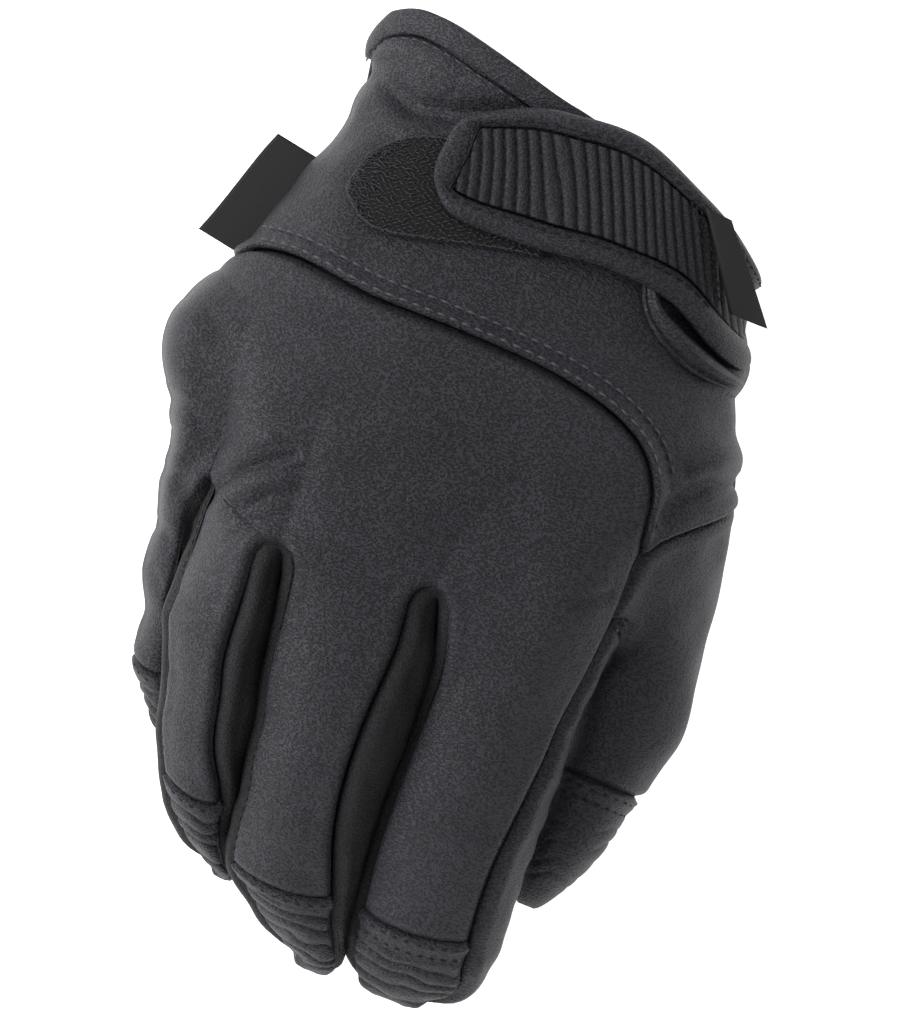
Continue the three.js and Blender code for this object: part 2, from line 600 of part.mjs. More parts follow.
// Back or palm panel: one piece over the hand and its four fingers, slit between the fingers.
function handPanel(side) {
  const points = [];
  const index = new Map();
  const faces = [];
  const place = (key, make) => {
    if (!index.has(key)) {
      index.set(key, points.length);
      points.push(make);
    }
    return index.get(key);
  };
  const handRows = 6;
  const seamY = seamGap / 2 / cuffReach;
  const vertex = (k, row, j) => {
    const across = j / columnsInFinger;
    if (row <= handRows) {
      return place(`hand ${row} ${k * columnsInFinger + j}`, (deep) => {
        const share = row / handRows;
        const angleAt = (at) => {
          const borders = borderAngles(at, side);
          return side * mix(borders[k], borders[k + 1], across);
        };
        const start = read(wristSeam, 'angle', 'at', angleAt(side > 0 ? 0.8 : 0.5)) + seamY;
        const at = mix(start, 1, share);
        return hand(at, angleAt(at), deep);
      });
    }
    const steps = [...slotSteps.slice(1), fingers[k].cap, ...(side > 0 ? [] : [0.87, 0.91, capUnder.at(-1)])];
    const at = steps[row - handRows - 1] - (row - handRows === steps.length ? seamY : 0);
    return place(`finger ${k} ${row} ${j}`, (deep) => fingerPoint(k, at, across, side, deep));
  };
  const total = handRows + slotSteps.length + (side > 0 ? 0 : 3);
  for (let k = 0; k < fingers.length; k += 1) {
    for (let row = 0; row < total; row += 1) {
      for (let j = 0; j < columnsInFinger; j += 1) {
        const near = [vertex(k, row, j), vertex(k, row + 1, j)];
        faces.push([...near, vertex(k, row + 1, j + 1), vertex(k, row, j + 1)]);
      }
    }
  }
  return wall(points.map((make) => make(0)), points.map((make) => make(leather)), faces);
}

// Side strip from the tip of one finger round the slot to the tip of the next.
function fourchette(k) {
  const steps = (j) => [...slotSteps.slice(1), fingers[j].cap, ...tipSteps];
  const route = [...steps(k).reverse().map((at) => [k, 'right', at]), [k, 'right', 0],
    ...steps(k + 1).map((at) => [k + 1, 'left', at])];
  return sideWall(route);
}

function sideWall(route) {
  const columns = 3;
  const point = (i, j, deep) => {
    const [k, edge, at] = route[i];
    const first = fingerSide(k, edge, at, 0, 0);
    const last = fingerSide(k, edge, at, 1, 0);
    const inset = Math.min((seamGap * 1.8) / first.distanceTo(last), 0.3);
    return fingerSide(k, edge, at, mix(inset, 1 - inset, j / columns), deep);
  };
  return gridWall(route.length - 1, columns, (i, j) => point(i, j, 0), (i, j) => point(i, j, leather));
}

// Ribbed cap: over the back of the tip, round its end and a little way under it.
function fingerCap(k) {
  const finger = fingers[k];
  const length = fingerLength(finger);
  const start = finger.cap + seamGap / 2 / length;
  const ribRows = 2 * Math.floor(((1 - start) * length) / ribPitch - 1);
  const straight = 1 - tipRound / length / 2;
  const rows = [];
  for (let i = 0; i <= ribRows; i += 1) {
    rows.push({ at: mix(start, straight, i / ribRows), side: 1, rise: (i % 2) * ribHeight });
  }
  for (const at of [...tipSteps, 1]) {
    if (at > straight + 0.01) rows.push({ at, side: 1, rise: 0 });
  }
  for (const at of [...capUnder.slice(0, -1), capUnder.at(-1) + seamGap / length]) {
    rows.push({ at, side: -1, rise: 0 });
  }
  const point = (i, j, deep) => {
    const { at, side, rise } = rows[i];
    return fingerPoint(k, at, j / columnsInFinger, side, deep - (deep > 0 ? 0 : rise));
  };
  const last = rows.length - 1;
  return gridWall(last, columnsInFinger, (i, j) => point(i, j, 0), (i, j) => point(i, j, leather));
}

// Route round the thumb's root: over the back edge, down at the index finger, along the palm, up at the wrist
function rootPoint(turn, deep) {
  const inset = (1.5 * seamGap) / handLength(0);
  const angleInset = 0.9;
  const top = [0.8 + inset, 1 - 3 * inset];
  const seam = (angle) => read(wristSeam, 'angle', 'at', angle) + inset;
  let at;
  let angle;
  if (turn < 1) {
    at = mix(top[0], top[1], turn);
    angle = backEdge(at) - angleInset;
  } else if (turn < 2) {
    at = top[1];
    angle = mix(backEdge(at) - angleInset, angleInset - palmEdge(at), turn - 1);
  } else if (turn < 3) {
    at = mix(top[1], seam(-38), turn - 2);
    angle = angleInset - palmEdge(at);
  } else {
    angle = mix(angleInset - palmEdge(seam(-38)), backEdge(0.8) - angleInset, turn - 3);
    at = mix(seam(angle), top[0], ease(clamp((angle - 32) / 3, 0, 1)));
  }
  return hand(at, angle, deep);
}

// The thumb leaves the hand at its root and turns into its own tube.
const rootCorners = [{ turn: 0, angle: 78 }, { turn: 1, angle: 140 }, { turn: 2, angle: 215 },
  { turn: 3, angle: 300 }, { turn: 4, angle: 438 }];
function thumbPoint(at, turn, deep) {
  const corner = Math.min(Math.floor(turn), 3);
  const angle = mix(rootCorners[corner].angle, rootCorners[corner + 1].angle, turn - corner);
  const section = thumbTube(Math.max(at, 0), angle, deep);
  return rootPoint(turn, deep).lerp(section, ease(clamp(at / 0.3, 0, 1)));
}

const ringTurns = [0, 0.5, 1, 1.35, 1.7, 2, 2.25, 2.5, 2.75, 3, 3.2, 3.4, 3.6, 3.8];

function thumbPanel() {
  const rows = [0, 0.08, 0.16, 0.24, 0.34, 0.45, 0.57, thumbCap - seamGap / 2 / thumbReach];
  const point = (i, j, deep) => thumbPoint(rows[i], ringTurns[j], deep);
  const columns = ringTurns.length;
  return gridWall(rows.length - 1, columns, (i, j) => point(i, j, 0), (i, j) => point(i, j, leather), true);
}

// Thumb cap: a ribbed thimble, closed at its end. Its rows run on over the tip to one point on each side.
function thumbTip() {
  const columns = ringTurns.length;
  const rows = [];
  const ribRows = 12;
  for (let i = 0; i <= ribRows; i += 1) {
    const at = mix(thumbCap + seamGap / 2 / thumbReach, 0.93, i / ribRows);
    rows.push({ at, rise: (i % 2) * ribHeight });
  }
  for (const at of [0.96, 0.98, 0.995]) rows.push({ at, rise: 0 });
  const sheet = (deep) => {
    const points = rows.flatMap(({ at, rise }) =>
      ringTurns.map((turn) => thumbPoint(at, turn, deep > 0 ? deep : -rise)));
    const end = thumbTube(1, 0, deep).add(thumbTube(1, 180, deep)).multiplyScalar(0.5);
    return [...points, end];
  };
  const faces = [];
  for (let i = 0; i < rows.length - 1; i += 1) {
    for (let j = 0; j < columns; j += 1) {
      const next = (j + 1) % columns;
      faces.push([i * columns + j, (i + 1) * columns + j, (i + 1) * columns + next, i * columns + next]);
    }
  }
  const outer = sheet(0);
  const inner = sheet(leather);
  const base = (rows.length - 1) * columns;
  const end = rows.length * columns;
  for (let j = 0; j < columns; j += 2) {
    faces.push([base + j, end, base + ((j + 2) % columns), base + j + 1]);
  }
  return wall(outer, inner, faces);
}

// Panels between the cuff and the hand
const hemShare = hemDepth / cuffReach;
function panelAngles(side) {
  const borders = borderAngles(side > 0 ? 0.8 : 0.5, side);
  const angles = [];
  for (let c = 0; c <= 4 * columnsInFinger; c += 1) {
    const k = Math.min(Math.floor(c / columnsInFinger), 3);
    angles.push(side * mix(borders[k], borders[k + 1], c / columnsInFinger - k));
  }
  return angles;
}
const sideSeam = -5;
const wristBackAngles = [...panelAngles(1), 33, 26, 20, 10, 0, sideSeam];
const wristPalmAngles = [sideSeam - 0.7, -14, -26, ...panelAngles(-1).reverse()];

function wristPanel(angles) {
  const steps = [0, 0.12, 0.28, 0.46, 0.64, 0.82, 1];
  const halfGap = seamGap / 2 / cuffReach;
  const point = (i, j, deep) => {
    const angle = angles[j];
    const end = read(wristSeam, 'angle', 'at', angle) - halfGap;
    return hand(mix(hemShare + halfGap, end, steps[i]), angle, deep);
  };
  const rows = steps.length - 1;
  return gridWall(rows, angles.length - 1, (i, j) => point(i, j, 0), (i, j) => point(i, j, leather));
}

function cuffHem() {
  const columns = 30;
  const halfGap = seamGap / 2 / cuffReach;
  const steps = [0, 0.3, 0.7, 1];
  const puff = [0.2, 1, 1, 0.5];
  const point = (i, j, deep) => {
    const angle = (360 * j) / columns;
    const fold = hemFold * puff[i];
    return hand((hemShare - halfGap) * steps[i], angle, deep > 0 ? deep + fold : -fold);
  };
  return gridWall(3, columns, (i, j) => point(i, j, 0), (i, j) => point(i, j, leather), true);
}

// A layer laid on the hand: low and high are its two faces above the leather.
function layer(rows, columns, place, low, high) {
  const point = (i, j, height) => {
    const { at, angle } = place(i / rows, j / columns);
    return hand(at, angle, -height(i, j));
  };
  return gridWall(rows, columns, (i, j) => point(i, j, high), (i, j) => point(i, j, low));
}

function loopPad() {
  const place = (u, v) => {
    const row = (column) => read(padRows, 'at', column, u);
    return { at: mix(row('upper'), row('lower'), v), angle: row('angle') };
  };
  return layer(8, 4, place, () => seamGap, () => seamGap + padThick);
}

// Height of the strap's underside: over the loop pad at its end, and down on the leather at its root.
const padTop = 2 * seamGap + padThick;
const strapLow = (angle) => mix(padTop, 1.5 * seamGap + hemFold, ease((70 - angle) / 55));

// The strap at a share of its length and across it (0 upper edge, 1 lower edge).
function strapPlace(u, v) {
  const row = (column) => read(strapRows, 'at', column, u);
  return { at: mix(row('upper'), row('lower'), v), angle: row('angle') };
}

// Shares of the strap's width that its rolled edge takes, at the strap's middle
const strapWidth = handLength(75) * (strapRows[4].lower - strapRows[4].upper);
const bindingShare = bindingWidth / strapWidth;
const upperShare = upperBinding / strapWidth;
const insertStart = 0.075;

// Rolled edge of the strap: along its upper edge, round its end and back along its lower edge.
function strapBinding() {
  const route = [1, 0.97, 0.94, 0.91, 0.87, 0.82, 0.77, 0.7, 0.6, 0.5, 0.4, 0.3, 0.2, 0.12, 0.07];
  const side = bindingShare;
  const stations = [
    ...route.map((u) => ({ outer: [u, 0], inner: [u, upperShare] })),
    { outer: [0.025, 0], inner: [insertStart, upperShare] },
    { outer: [0, 0], inner: [insertStart, 0.4] },
    { outer: [0, 1], inner: [insertStart, 0.6] },
    { outer: [0.025, 1], inner: [insertStart, 1 - side] },
    ...[...route].reverse().map((u) => ({ outer: [u, 1], inner: [u, 1 - side] })),
  ];
  const swell = [0.45, 1, 1, 0.6];
  const point = (i, j, high) => {
    const { outer, inner } = stations[i];
    const u = mix(outer[0], inner[0], j / 3);
    const v = mix(outer[1], inner[1], j / 3);
    const { at, angle } = strapPlace(u, v);
    return hand(at, angle, -(strapLow(angle) + (high ? strapThick * swell[j] : 0)));
  };
  return gridWall(stations.length - 1, 3, (i, j) => point(i, j, true), (i, j) => point(i, j, false));
}

// Ribbed middle of the strap: its ribs lean towards the thumb.
function strapInsert() {
  const length = radians(strapRows[0].angle - strapRows.at(-1).angle) * handWidth * 0.5;
  const ribs = Math.round((length * (1 - insertStart)) / strapRibPitch);
  const edge = (seamGap * 1.8) / strapWidth;
  const start = insertStart + seamGap / length;
  const lean = 0.15;
  const place = (u, v) => {
    const across = mix(upperShare + edge, 1 - bindingShare - edge, v);
    const along = mix(start, 1, u);
    const skew = lean * (v - 0.5) * Math.min(1, 6 * u, 6 * (1 - u));
    return strapPlace(along + skew, across);
  };
  const low = (i, j) => strapLow(place(i / (2 * ribs), j / 2).angle);
  return layer(2 * ribs, 2, place, low, (i, j) => low(i, j) + insertThick - ((i + 1) % 2) * strapRibHeight);
}

// Folded leather gusset in a U round the opening under the strap's root, highest along its middle.
function strapGusset() {
  const swell = [0.15, 0.7, 1, 0.85, 0.4];
  const value = (u, column) => read(gussetRows, 'at', column, u);
  const place = (u, v) => ({
    at: mix(value(u, 'outer'), value(u, 'inner'), v),
    angle: mix(value(u, 'outerAngle'), value(u, 'innerAngle'), v),
  });
  const rows = 16;
  const high = (i, j) => seamGap + gussetThick * value(i / rows, 'high') * swell[j];
  return layer(rows, swell.length - 1, place, () => seamGap, high);
}

// Tag sewn across the strap near its root; its lower corner stands free.
function strapTag() {
  const turn = THREE.MathUtils.radToDeg(strapTagWidth / (0.5 * handWidth));
  const place = (u, v) => ({
    at: mix(strapTagPlace.upper, strapTagPlace.lower, v) - strapTagPlace.skew * u,
    angle: mix(strapTagPlace.upperAngle, strapTagPlace.lowerAngle, v) - turn * (1 + v / 2) * u,
  });
  const rise = (i, j) => strapTagLift * (i / 2) * (j / 4);
  const low = (i, j) => strapLow(place(i / 2, j / 4).angle) + strapThick + seamGap + rise(i, j);
  return layer(2, 4, place, low, (i, j) => low(i, j) + tagThick);
}

// Flat folded tag sewn into the side seam: its inner edge follows the seam.
function sideTag() {
  const point = (i, j, face) => {
    const edge = hand(sideTagStart + ((i / 3) * sideTagLength) / handLength(180), 180, -seamGap);
    return edge.add(new THREE.Vector3(-sideTagWidth * j, 0.17 * sideTagWidth * j, face * tagThick / 2));
  };
  return gridWall(3, 1, (i, j) => point(i, j, 1), (i, j) => point(i, j, -1));
}

const finishes = {
  leather: { color: 0x3a3b3e, roughness: 0.62, metalness: 0 },
  palm: { color: 0x333437, roughness: 0.66, metalness: 0 },
  fuzz: { color: 0x17181a, roughness: 0.95, metalness: 0 },
  ribbed: { color: 0x34353a, roughness: 0.75, metalness: 0 },
  tag: { color: 0x26272a, roughness: 0.8, metalness: 0 },
};

const glove = new THREE.Group();
function add(name, finish, geometry) {
  const mesh = new THREE.Mesh(geometry, new THREE.MeshStandardMaterial(finishes[finish]));
  mesh.name = name;
  glove.add(mesh);
}

add('cuff_hem', 'leather', cuffHem());
add('wrist_back', 'leather', wristPanel(wristBackAngles));
add('wrist_palm', 'palm', wristPanel(wristPalmAngles));
add('back_panel', 'leather', handPanel(1));
add('palm_panel', 'palm', handPanel(-1));
for (let k = 0; k < 3; k += 1) {
  add(`fourchette_${fingers[k].name}_${fingers[k + 1].name}`, 'leather', fourchette(k));
}
const indexSteps = [...slotSteps, fingers[3].cap, ...tipSteps];
add('index_side', 'leather', sideWall(indexSteps.map((at) => [3, 'right', at])));
fingers.forEach((finger, k) => add(`${finger.name}_tip`, 'leather', fingerCap(k)));
add('thumb_panel', 'leather', thumbPanel());
add('thumb_tip', 'leather', thumbTip());
add('loop_pad', 'fuzz', loopPad());
add('strap_binding', 'leather', strapBinding());
add('strap_insert', 'ribbed', strapInsert());
add('strap_gusset', 'leather', strapGusset());
add('strap_tag', 'tag', strapTag());
add('side_tag', 'tag', sideTag());
glove.position.set(-heel.across * handWidth, -heel.along * tipReach, 0);

export default glove;
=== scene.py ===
import math

import bpy
import numpy as np
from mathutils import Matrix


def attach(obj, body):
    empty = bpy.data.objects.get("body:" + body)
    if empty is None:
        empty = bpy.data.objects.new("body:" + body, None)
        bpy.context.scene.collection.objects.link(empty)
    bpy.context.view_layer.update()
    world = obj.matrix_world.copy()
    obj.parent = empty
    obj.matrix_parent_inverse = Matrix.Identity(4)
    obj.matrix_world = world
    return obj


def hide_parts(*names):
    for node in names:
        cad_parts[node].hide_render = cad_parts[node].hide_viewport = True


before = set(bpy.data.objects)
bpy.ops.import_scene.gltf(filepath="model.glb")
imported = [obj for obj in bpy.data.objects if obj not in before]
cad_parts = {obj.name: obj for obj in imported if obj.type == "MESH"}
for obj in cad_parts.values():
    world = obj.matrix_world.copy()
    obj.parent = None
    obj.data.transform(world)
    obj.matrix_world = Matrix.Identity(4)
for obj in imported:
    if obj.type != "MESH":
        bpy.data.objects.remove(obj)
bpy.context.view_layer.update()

# Back of the hand and fingers: one soft leather panel, slit between the fingers.
# It is goatskin with a thin liner, cut flat, sewn with its edges turned in, and shaped by the hand inside.
HAND_WIDTH = 100.0
HAND_HEIGHT = 50.0
CUFF_REACH = 86.7
TIP_REACH = 100.0
FINGER_REACH = [65.0, 88.5, 99.3, 98.8]
LEATHER = 2.0
SEAM_GAP = 0.3
FINGER_GAP = 0.5
TIP_ROUND = 11.0
SLOT_ROUND = 5.0
CREASE_ROUND = 26.0
SLOT_RISE = 0.92
RISE_LENGTH = 30.0
LEVEL_EDGE = 0.6
WEB_SLOPE = 4.0
TUBE_END = 0.55  # share of the hand's length up to which it is a plain tube
WIDEST_LINE = 0.45  # height of the widest line, as a share of a section
TIP_WIDTH = 0.5  # what is left of a finger's width at its very end
TIP_WALL = 0.3  # the same of the wall's thickness, and least inner share of a width
SEAM_FADE = 0.12  # last share of a finger, where its seams run together
SEAM_REACH = 0.9  # most of half a finger's width that a side strip takes
UNDER_SEAM = 35.0  # degrees that the palm's seams lie below a finger's widest line
UNDER_END = 0.94  # where the palm panel meets a cap, as a share of the finger
TIP_SPACING = 1.4  # above 1, rows lie closer at the slot than at the tip
WRAP_BACK = 187.0  # angles where the panels meet on the little finger's side
WRAP_PALM = 171.0
HEEL = np.array([5.0, -35.0, 0.0])  # from the palm heel's middle back to the middle of the back
HAND_SQUARE = 0.86
HAND_SECTIONS = {
    "at": [0.0, 0.17, 0.35, 0.5, 0.6, 0.7, 0.8, 0.9, 1.0],
    "left": [-0.523, -0.5, -0.553, -0.595, -0.63, -0.667, -0.677, -0.648, -0.59],
    "right": [0.375, 0.405, 0.458, 0.515, 0.538, 0.53, 0.5, 0.455, 0.42],
    "top": [0.84, 0.8, 0.89, 0.98, 1.02, 1.05, 1.07, 1.06, 1.04],
    "under": [-0.06, -0.06, -0.06, -0.06, -0.05, 0.0, 0.12, 0.25, 0.36],
}
CUFF_EDGE = {
    "cosine": [-1, -0.985, -0.93, -0.75, -0.4, 0, 0.55, 1],
    "along": [0.985, 1.01, 1.055, 1.083, 1.055, 1, 0.917, 0.82],
}
SLOT_LINE = {
    "cosine": [-1, -0.75, -0.37, 0.28, 0.95, 1],
    "along": [-0.08, -0.12, -0.194, -0.162, -0.075, -0.07],
}
WRIST_SEAM = {
    "angle": [-171, -150, -110, -70, -38, 0, 20, 33, 36, 40, 45, 57, 74, 96, 136, 187],
    "at": [0.56, 0.5, 0.38, 0.4, 0.5, 0.6, 0.69, 0.77, 0.8, 0.735, 0.655, 0.55, 0.5, 0.493, 0.534, 0.56],
}
LITTLE_OUTER = {
    "along": [-0.65, -0.6, -0.54, -0.47, -0.42, -0.35, -0.25, -0.15, -0.08, 0.2],
    "across": [-0.42, -0.45, -0.494, -0.512, -0.515, -0.55, -0.56, -0.588, -0.593, -0.66],
}
LITTLE_INNER = {
    "along": [-0.65, -0.6, -0.5, -0.42, -0.35, -0.28, -0.2, -0.12, 0.2],
    "across": [-0.345, -0.362, -0.388, -0.415, -0.438, -0.466, -0.486, -0.479, -0.497],
}
RING_OUTER = {
    "along": [-0.87, -0.83, -0.775, -0.7, -0.625, -0.56, -0.46, -0.4, -0.19, -0.12, 0.2],
    "across": [-0.2, -0.265, -0.325, -0.365, -0.4, -0.415, -0.45, -0.47, -0.479, -0.472, -0.49],
}
RING_MIDDLE = {
    "along": [-0.97, -0.93, -0.88, -0.84, -0.76, -0.7, -0.625, -0.54, -0.45, -0.31, -0.194, 0.2],
    "across": [0.02, -0.05, -0.115, -0.158, -0.178, -0.183, -0.2, -0.212, -0.236, -0.258, -0.277, -0.29],
}
MIDDLE_INDEX = {
    "along": [-0.96, -0.9, -0.8, -0.7, -0.6, -0.42, -0.3, -0.162, 0.2],
    "across": [0.152, 0.128, 0.114, 0.102, 0.095, 0.089, 0.083, 0.053, 0.045],
}
INDEX_OUTER = {
    "along": [-0.96, -0.925, -0.875, -0.81, -0.62, -0.41, -0.3, -0.075, 0.2],
    "across": [0.365, 0.408, 0.426, 0.432, 0.42, 0.412, 0.404, 0.418, 0.42],
}
LIMITS = [
    LITTLE_OUTER, LITTLE_INNER, RING_OUTER, RING_MIDDLE,
    RING_MIDDLE, MIDDLE_INDEX, MIDDLE_INDEX, INDEX_OUTER,
]
FINGER_ROWS = [
    {
        "at": [-0.5, 0, 0.2, 0.45, 0.65, 0.8, 1],
        "seam_left": [0, 0, 0, 0, 0, 0, 0],
        "seam_right": [0.02, 0.02, 0.015, 0.01, 0.01, 0.01, 0.01],
        "crest": [0.86, 0.72, 0.57, 0.45, 0.4, 0.35, 0.28],
        "under": [0.3, 0.2, 0.1, 0.03, 0, 0, 0],
        "lean": [0.3, 0.22, 0.1, 0, 0, 0, 0],
    },
    {
        "at": [-0.5, 0, 0.2, 0.45, 0.65, 0.8, 0.92, 1],
        "seam_left": [0.004, 0.004, 0.004, 0.004, 0.004, 0.005, 0.008, 0.008],
        "seam_right": [0.01, 0.062, 0.074, 0.084, 0.07, 0.025, 0.01, 0.01],
        "crest": [1.03, 0.98, 0.9, 0.79, 0.66, 0.54, 0.42, 0.33],
        "under": [0.3, 0.42, 0.43, 0.34, 0.22, 0.1, 0.02, 0],
        "lean": [0.1, 0.14, 0.15, 0.15, 0.12, 0.08, 0.04, 0],
    },
    {
        "at": [-0.5, 0, 0.2, 0.45, 0.65, 0.8, 0.92, 1],
        "seam_left": [0.01, 0.01, 0.008, 0.007, 0.007, 0.007, 0.01, 0.01],
        "seam_right": [0.01, 0.06, 0.08, 0.09, 0.075, 0.043, 0.02, 0.02],
        "crest": [1.09, 1.06, 1.0, 0.88, 0.74, 0.6, 0.46, 0.36],
        "under": [0.32, 0.45, 0.46, 0.37, 0.24, 0.12, 0.02, 0],
        "lean": [0, 0, 0, 0, 0, 0, 0, 0],
    },
    {
        "at": [-0.5, 0, 0.2, 0.45, 0.65, 0.8, 0.92, 1],
        "seam_left": [0.01, 0.009, 0.012, 0.012, 0.011, 0.013, 0.012, 0.012],
        "seam_right": [0.03, 0.02, 0.022, 0.044, 0.062, 0.06, 0.035, 0.03],
        "crest": [1.06, 1.0, 0.93, 0.83, 0.7, 0.57, 0.44, 0.35],
        "under": [0.3, 0.4, 0.42, 0.33, 0.21, 0.1, 0.02, 0],
        "lean": [-0.02, -0.03, -0.03, -0.03, -0.03, -0.02, 0, 0],
    },
]
CAP_START = [0.78, 0.8, 0.82, 0.82]
CAP_BOW = 2.4
FINGER_BORDERS = [139.0, 112.0, 74.0]


def mix(a, b, t):
    """a at t = 0 and b at t = 1, in a straight line."""
    return a + (b - a) * t


def ease(t):
    """3 t squared minus 2 t cubed, between 0 and 1."""
    t = np.clip(t, 0, 1)
    return t * t * (3 - 2 * t)


def read(table, column, place, by="at"):
    """Cubic through a column's values, with the slope of the chord between the rows beside each row."""
    x = np.asarray(table[by], float)
    y = np.asarray(table[column], float)
    place = np.clip(place, x[0], x[-1])
    before = np.maximum(np.arange(len(x)) - 1, 0)
    after = np.minimum(np.arange(len(x)) + 1, len(x) - 1)
    slope = (y[after] - y[before]) / (x[after] - x[before])
    i = np.clip(np.searchsorted(x, place, side="right") - 1, 0, len(x) - 2)
    span = x[i + 1] - x[i]
    u = (place - x[i]) / span
    hold = (1 + 2 * u) * (1 - u) ** 2 * y[i] + u * u * (3 - 2 * u) * y[i + 1]
    return hold + span * (u * (1 - u) ** 2 * slope[i] - u * u * (1 - u) * slope[i + 1])


def unit(vectors):
    """The vectors at length one."""
    return vectors / np.maximum(np.linalg.norm(vectors, axis=-1, keepdims=True), 1e-9)


def bulge(value, power):
    """The value to a power, with its own sign."""
    return np.sign(value) * np.abs(value) ** power


def cosine(angle):
    return np.cos(np.radians(angle))


def sine(angle):
    return np.sin(np.radians(angle))


def cuff_line(angle):
    return CUFF_REACH * read(CUFF_EDGE, "along", cosine(angle), by="cosine")


def slot_y(angle):
    """Y of the finger slots round the hand, nearer the tips on the palm side."""
    line = read(SLOT_LINE, "along", cosine(angle), by="cosine")
    return TIP_REACH * line - WEB_SLOPE * (1 - sine(angle)) / 2


def hand_length(angle):
    return cuff_line(angle) - slot_y(angle)


def tube(at, angle, deep):
    """Superellipse round the hand: power HAND_SQUARE of cosine across and of sine up, in by deep."""
    left, right = (HAND_WIDTH * read(HAND_SECTIONS, side, at) for side in ("left", "right"))
    top, under = (HAND_HEIGHT * read(HAND_SECTIONS, side, at) for side in ("top", "under"))
    middle = mix(under, top, WIDEST_LINE)
    half = np.where(sine(angle) > 0, top - middle, middle - under)
    x = (left + right) / 2 + ((right - left) / 2 - deep) * bulge(cosine(angle), HAND_SQUARE)
    z = middle + (half - deep) * bulge(sine(angle), HAND_SQUARE)
    return x, np.maximum(np.maximum(z, deep), 0)


def back_edge(at):
    return mix(36.0, 21.0, ease((at - 0.8) / 0.2))


def palm_edge(at):
    return mix(38.0, 28.0, ease((at - 0.5) / 0.5))


def borders(at, side):
    """Angles where the fingers' strips meet, from the little finger's side to the thumb's."""
    at = np.asarray(at, float)
    first = WRAP_BACK if side > 0 else WRAP_PALM
    last = back_edge(at) if side > 0 else palm_edge(at)
    return [np.full_like(at, first)] + [np.full_like(at, b) for b in FINGER_BORDERS] + [last]


def finger_length(k):
    return FINGER_REACH[k] + TIP_REACH * SLOT_LINE["along"][2]


def measures(k, at, deep):
    """A finger's section: its limits from the two tables, rounded off as a quarter circle at its end."""
    shrink = 1 - np.clip((at - 1) * (finger_length(k) / TIP_ROUND) + 1, 0, 1) ** 2
    rounding = np.sqrt(shrink)
    ends = borders(1.0, 1)
    edge_y = [mix(slot_y(ends[k + i]), -FINGER_REACH[k], at) / TIP_REACH for i in (0, 1)]
    left = HAND_WIDTH * read(LIMITS[2 * k], "across", edge_y[0], by="along") + FINGER_GAP / 2
    right = HAND_WIDTH * read(LIMITS[2 * k + 1], "across", edge_y[1], by="along") - FINGER_GAP / 2
    rows = FINGER_ROWS[k]
    crest, under = (HAND_HEIGHT * read(rows, name, at) for name in ("crest", "under"))
    half = (right - left) / 2
    taper = np.clip((1 - at) / SEAM_FADE, 0.02, 1) ** 0.8
    seams = {}
    for name in ("seam_left", "seam_right"):
        share = np.minimum(HAND_WIDTH * read(rows, name, at) / half, SEAM_REACH)
        seams[name] = np.degrees(np.arccos(1 - share)) * taper
    width = half * mix(TIP_WIDTH, 1, rounding)
    return {
        "middle": (left + right) / 2,
        "half": np.maximum(width - deep, TIP_WALL * width),
        "centre": (crest + under) / 2,
        "high": (crest - under) / 2 * rounding - deep * mix(TIP_WALL, 1, rounding),
        "lean": read(rows, "lean", at),
        "seam_under": UNDER_SEAM * taper,
        **seams,
    }


def section(k, at, angle, deep):
    """Ellipse round the finger, leaning sideways, never under the table: x and z."""
    m = measures(k, at - deep / finger_length(k), deep)
    outer = measures(k, at, deep)
    aside = outer["half"] * cosine(angle)
    z = m["centre"] + m["lean"] * aside + np.maximum(outer["high"], 0) * sine(angle)
    return m["middle"] + aside, np.maximum(np.maximum(z, deep), 0)


def seam_angle(k, edge, at, side):
    """Angle round the finger of its seam on the back (side 1) or underneath (side -1)."""
    m = measures(k, at, 0)
    if k == 0 and edge == "left":
        return np.full_like(np.asarray(at, float), WRAP_BACK if side > 0 else -WRAP_PALM)
    over = m["seam_left"] if edge == "left" else m["seam_right"]
    turn = over if side > 0 else m["seam_under"]
    return side * (180 - turn) if edge == "left" else side * turn


def opened(distance, roundness):
    """Quarter circle: how far a slot has opened at a distance from its start."""
    return np.sqrt(1 - (1 - np.clip(distance / roundness, 0, 1)) ** 2)


def levelled(k, at):
    """How level a finger's back lies with the hand: SLOT_RISE at its slot, 0 at RISE_LENGTH from it."""
    return SLOT_RISE * (1 - ease(np.maximum(at, 0) * finger_length(k) / RISE_LENGTH))


def neighbour(k, edge):
    return k - 1 if edge == "left" else k + 1


def level_between(k, edge, at):
    """Height of the back between a finger and its neighbour: the lower of their crests."""
    other = neighbour(k, edge)
    share = at * finger_length(k) / finger_length(other)
    crests = read(FINGER_ROWS[k], "crest", at), read(FINGER_ROWS[other], "crest", share)
    return HAND_HEIGHT * np.minimum(*crests)


def edge_shift(k, edge, at, across, deep):
    """Moves a finger's edge half way to its neighbour's at the slot, dying out as the slot opens."""
    other = neighbour(k, edge)
    if other < 0 or other > 3:
        return 0.0, 0.0
    base = np.minimum(at, 0)

    def point(j, side):
        share = base * (finger_length(k) / finger_length(j))
        over = seam_angle(j, side, share, 1)
        below = seam_angle(j, side, share, -1) + (360 if side == "left" else 0)
        return section(j, share, mix(over, below, across), deep)

    own = point(k, edge)
    following = point(other, "right" if edge == "left" else "left")
    crease = CREASE_ROUND if min(k, other) == 0 else SLOT_ROUND
    distance = at * finger_length(k)
    fade = np.where(at <= 0, 1, 1 - opened(np.maximum(distance, 0), crease))
    return (following[0] - own[0]) / 2 * fade, (following[1] - own[1]) / 2 * fade


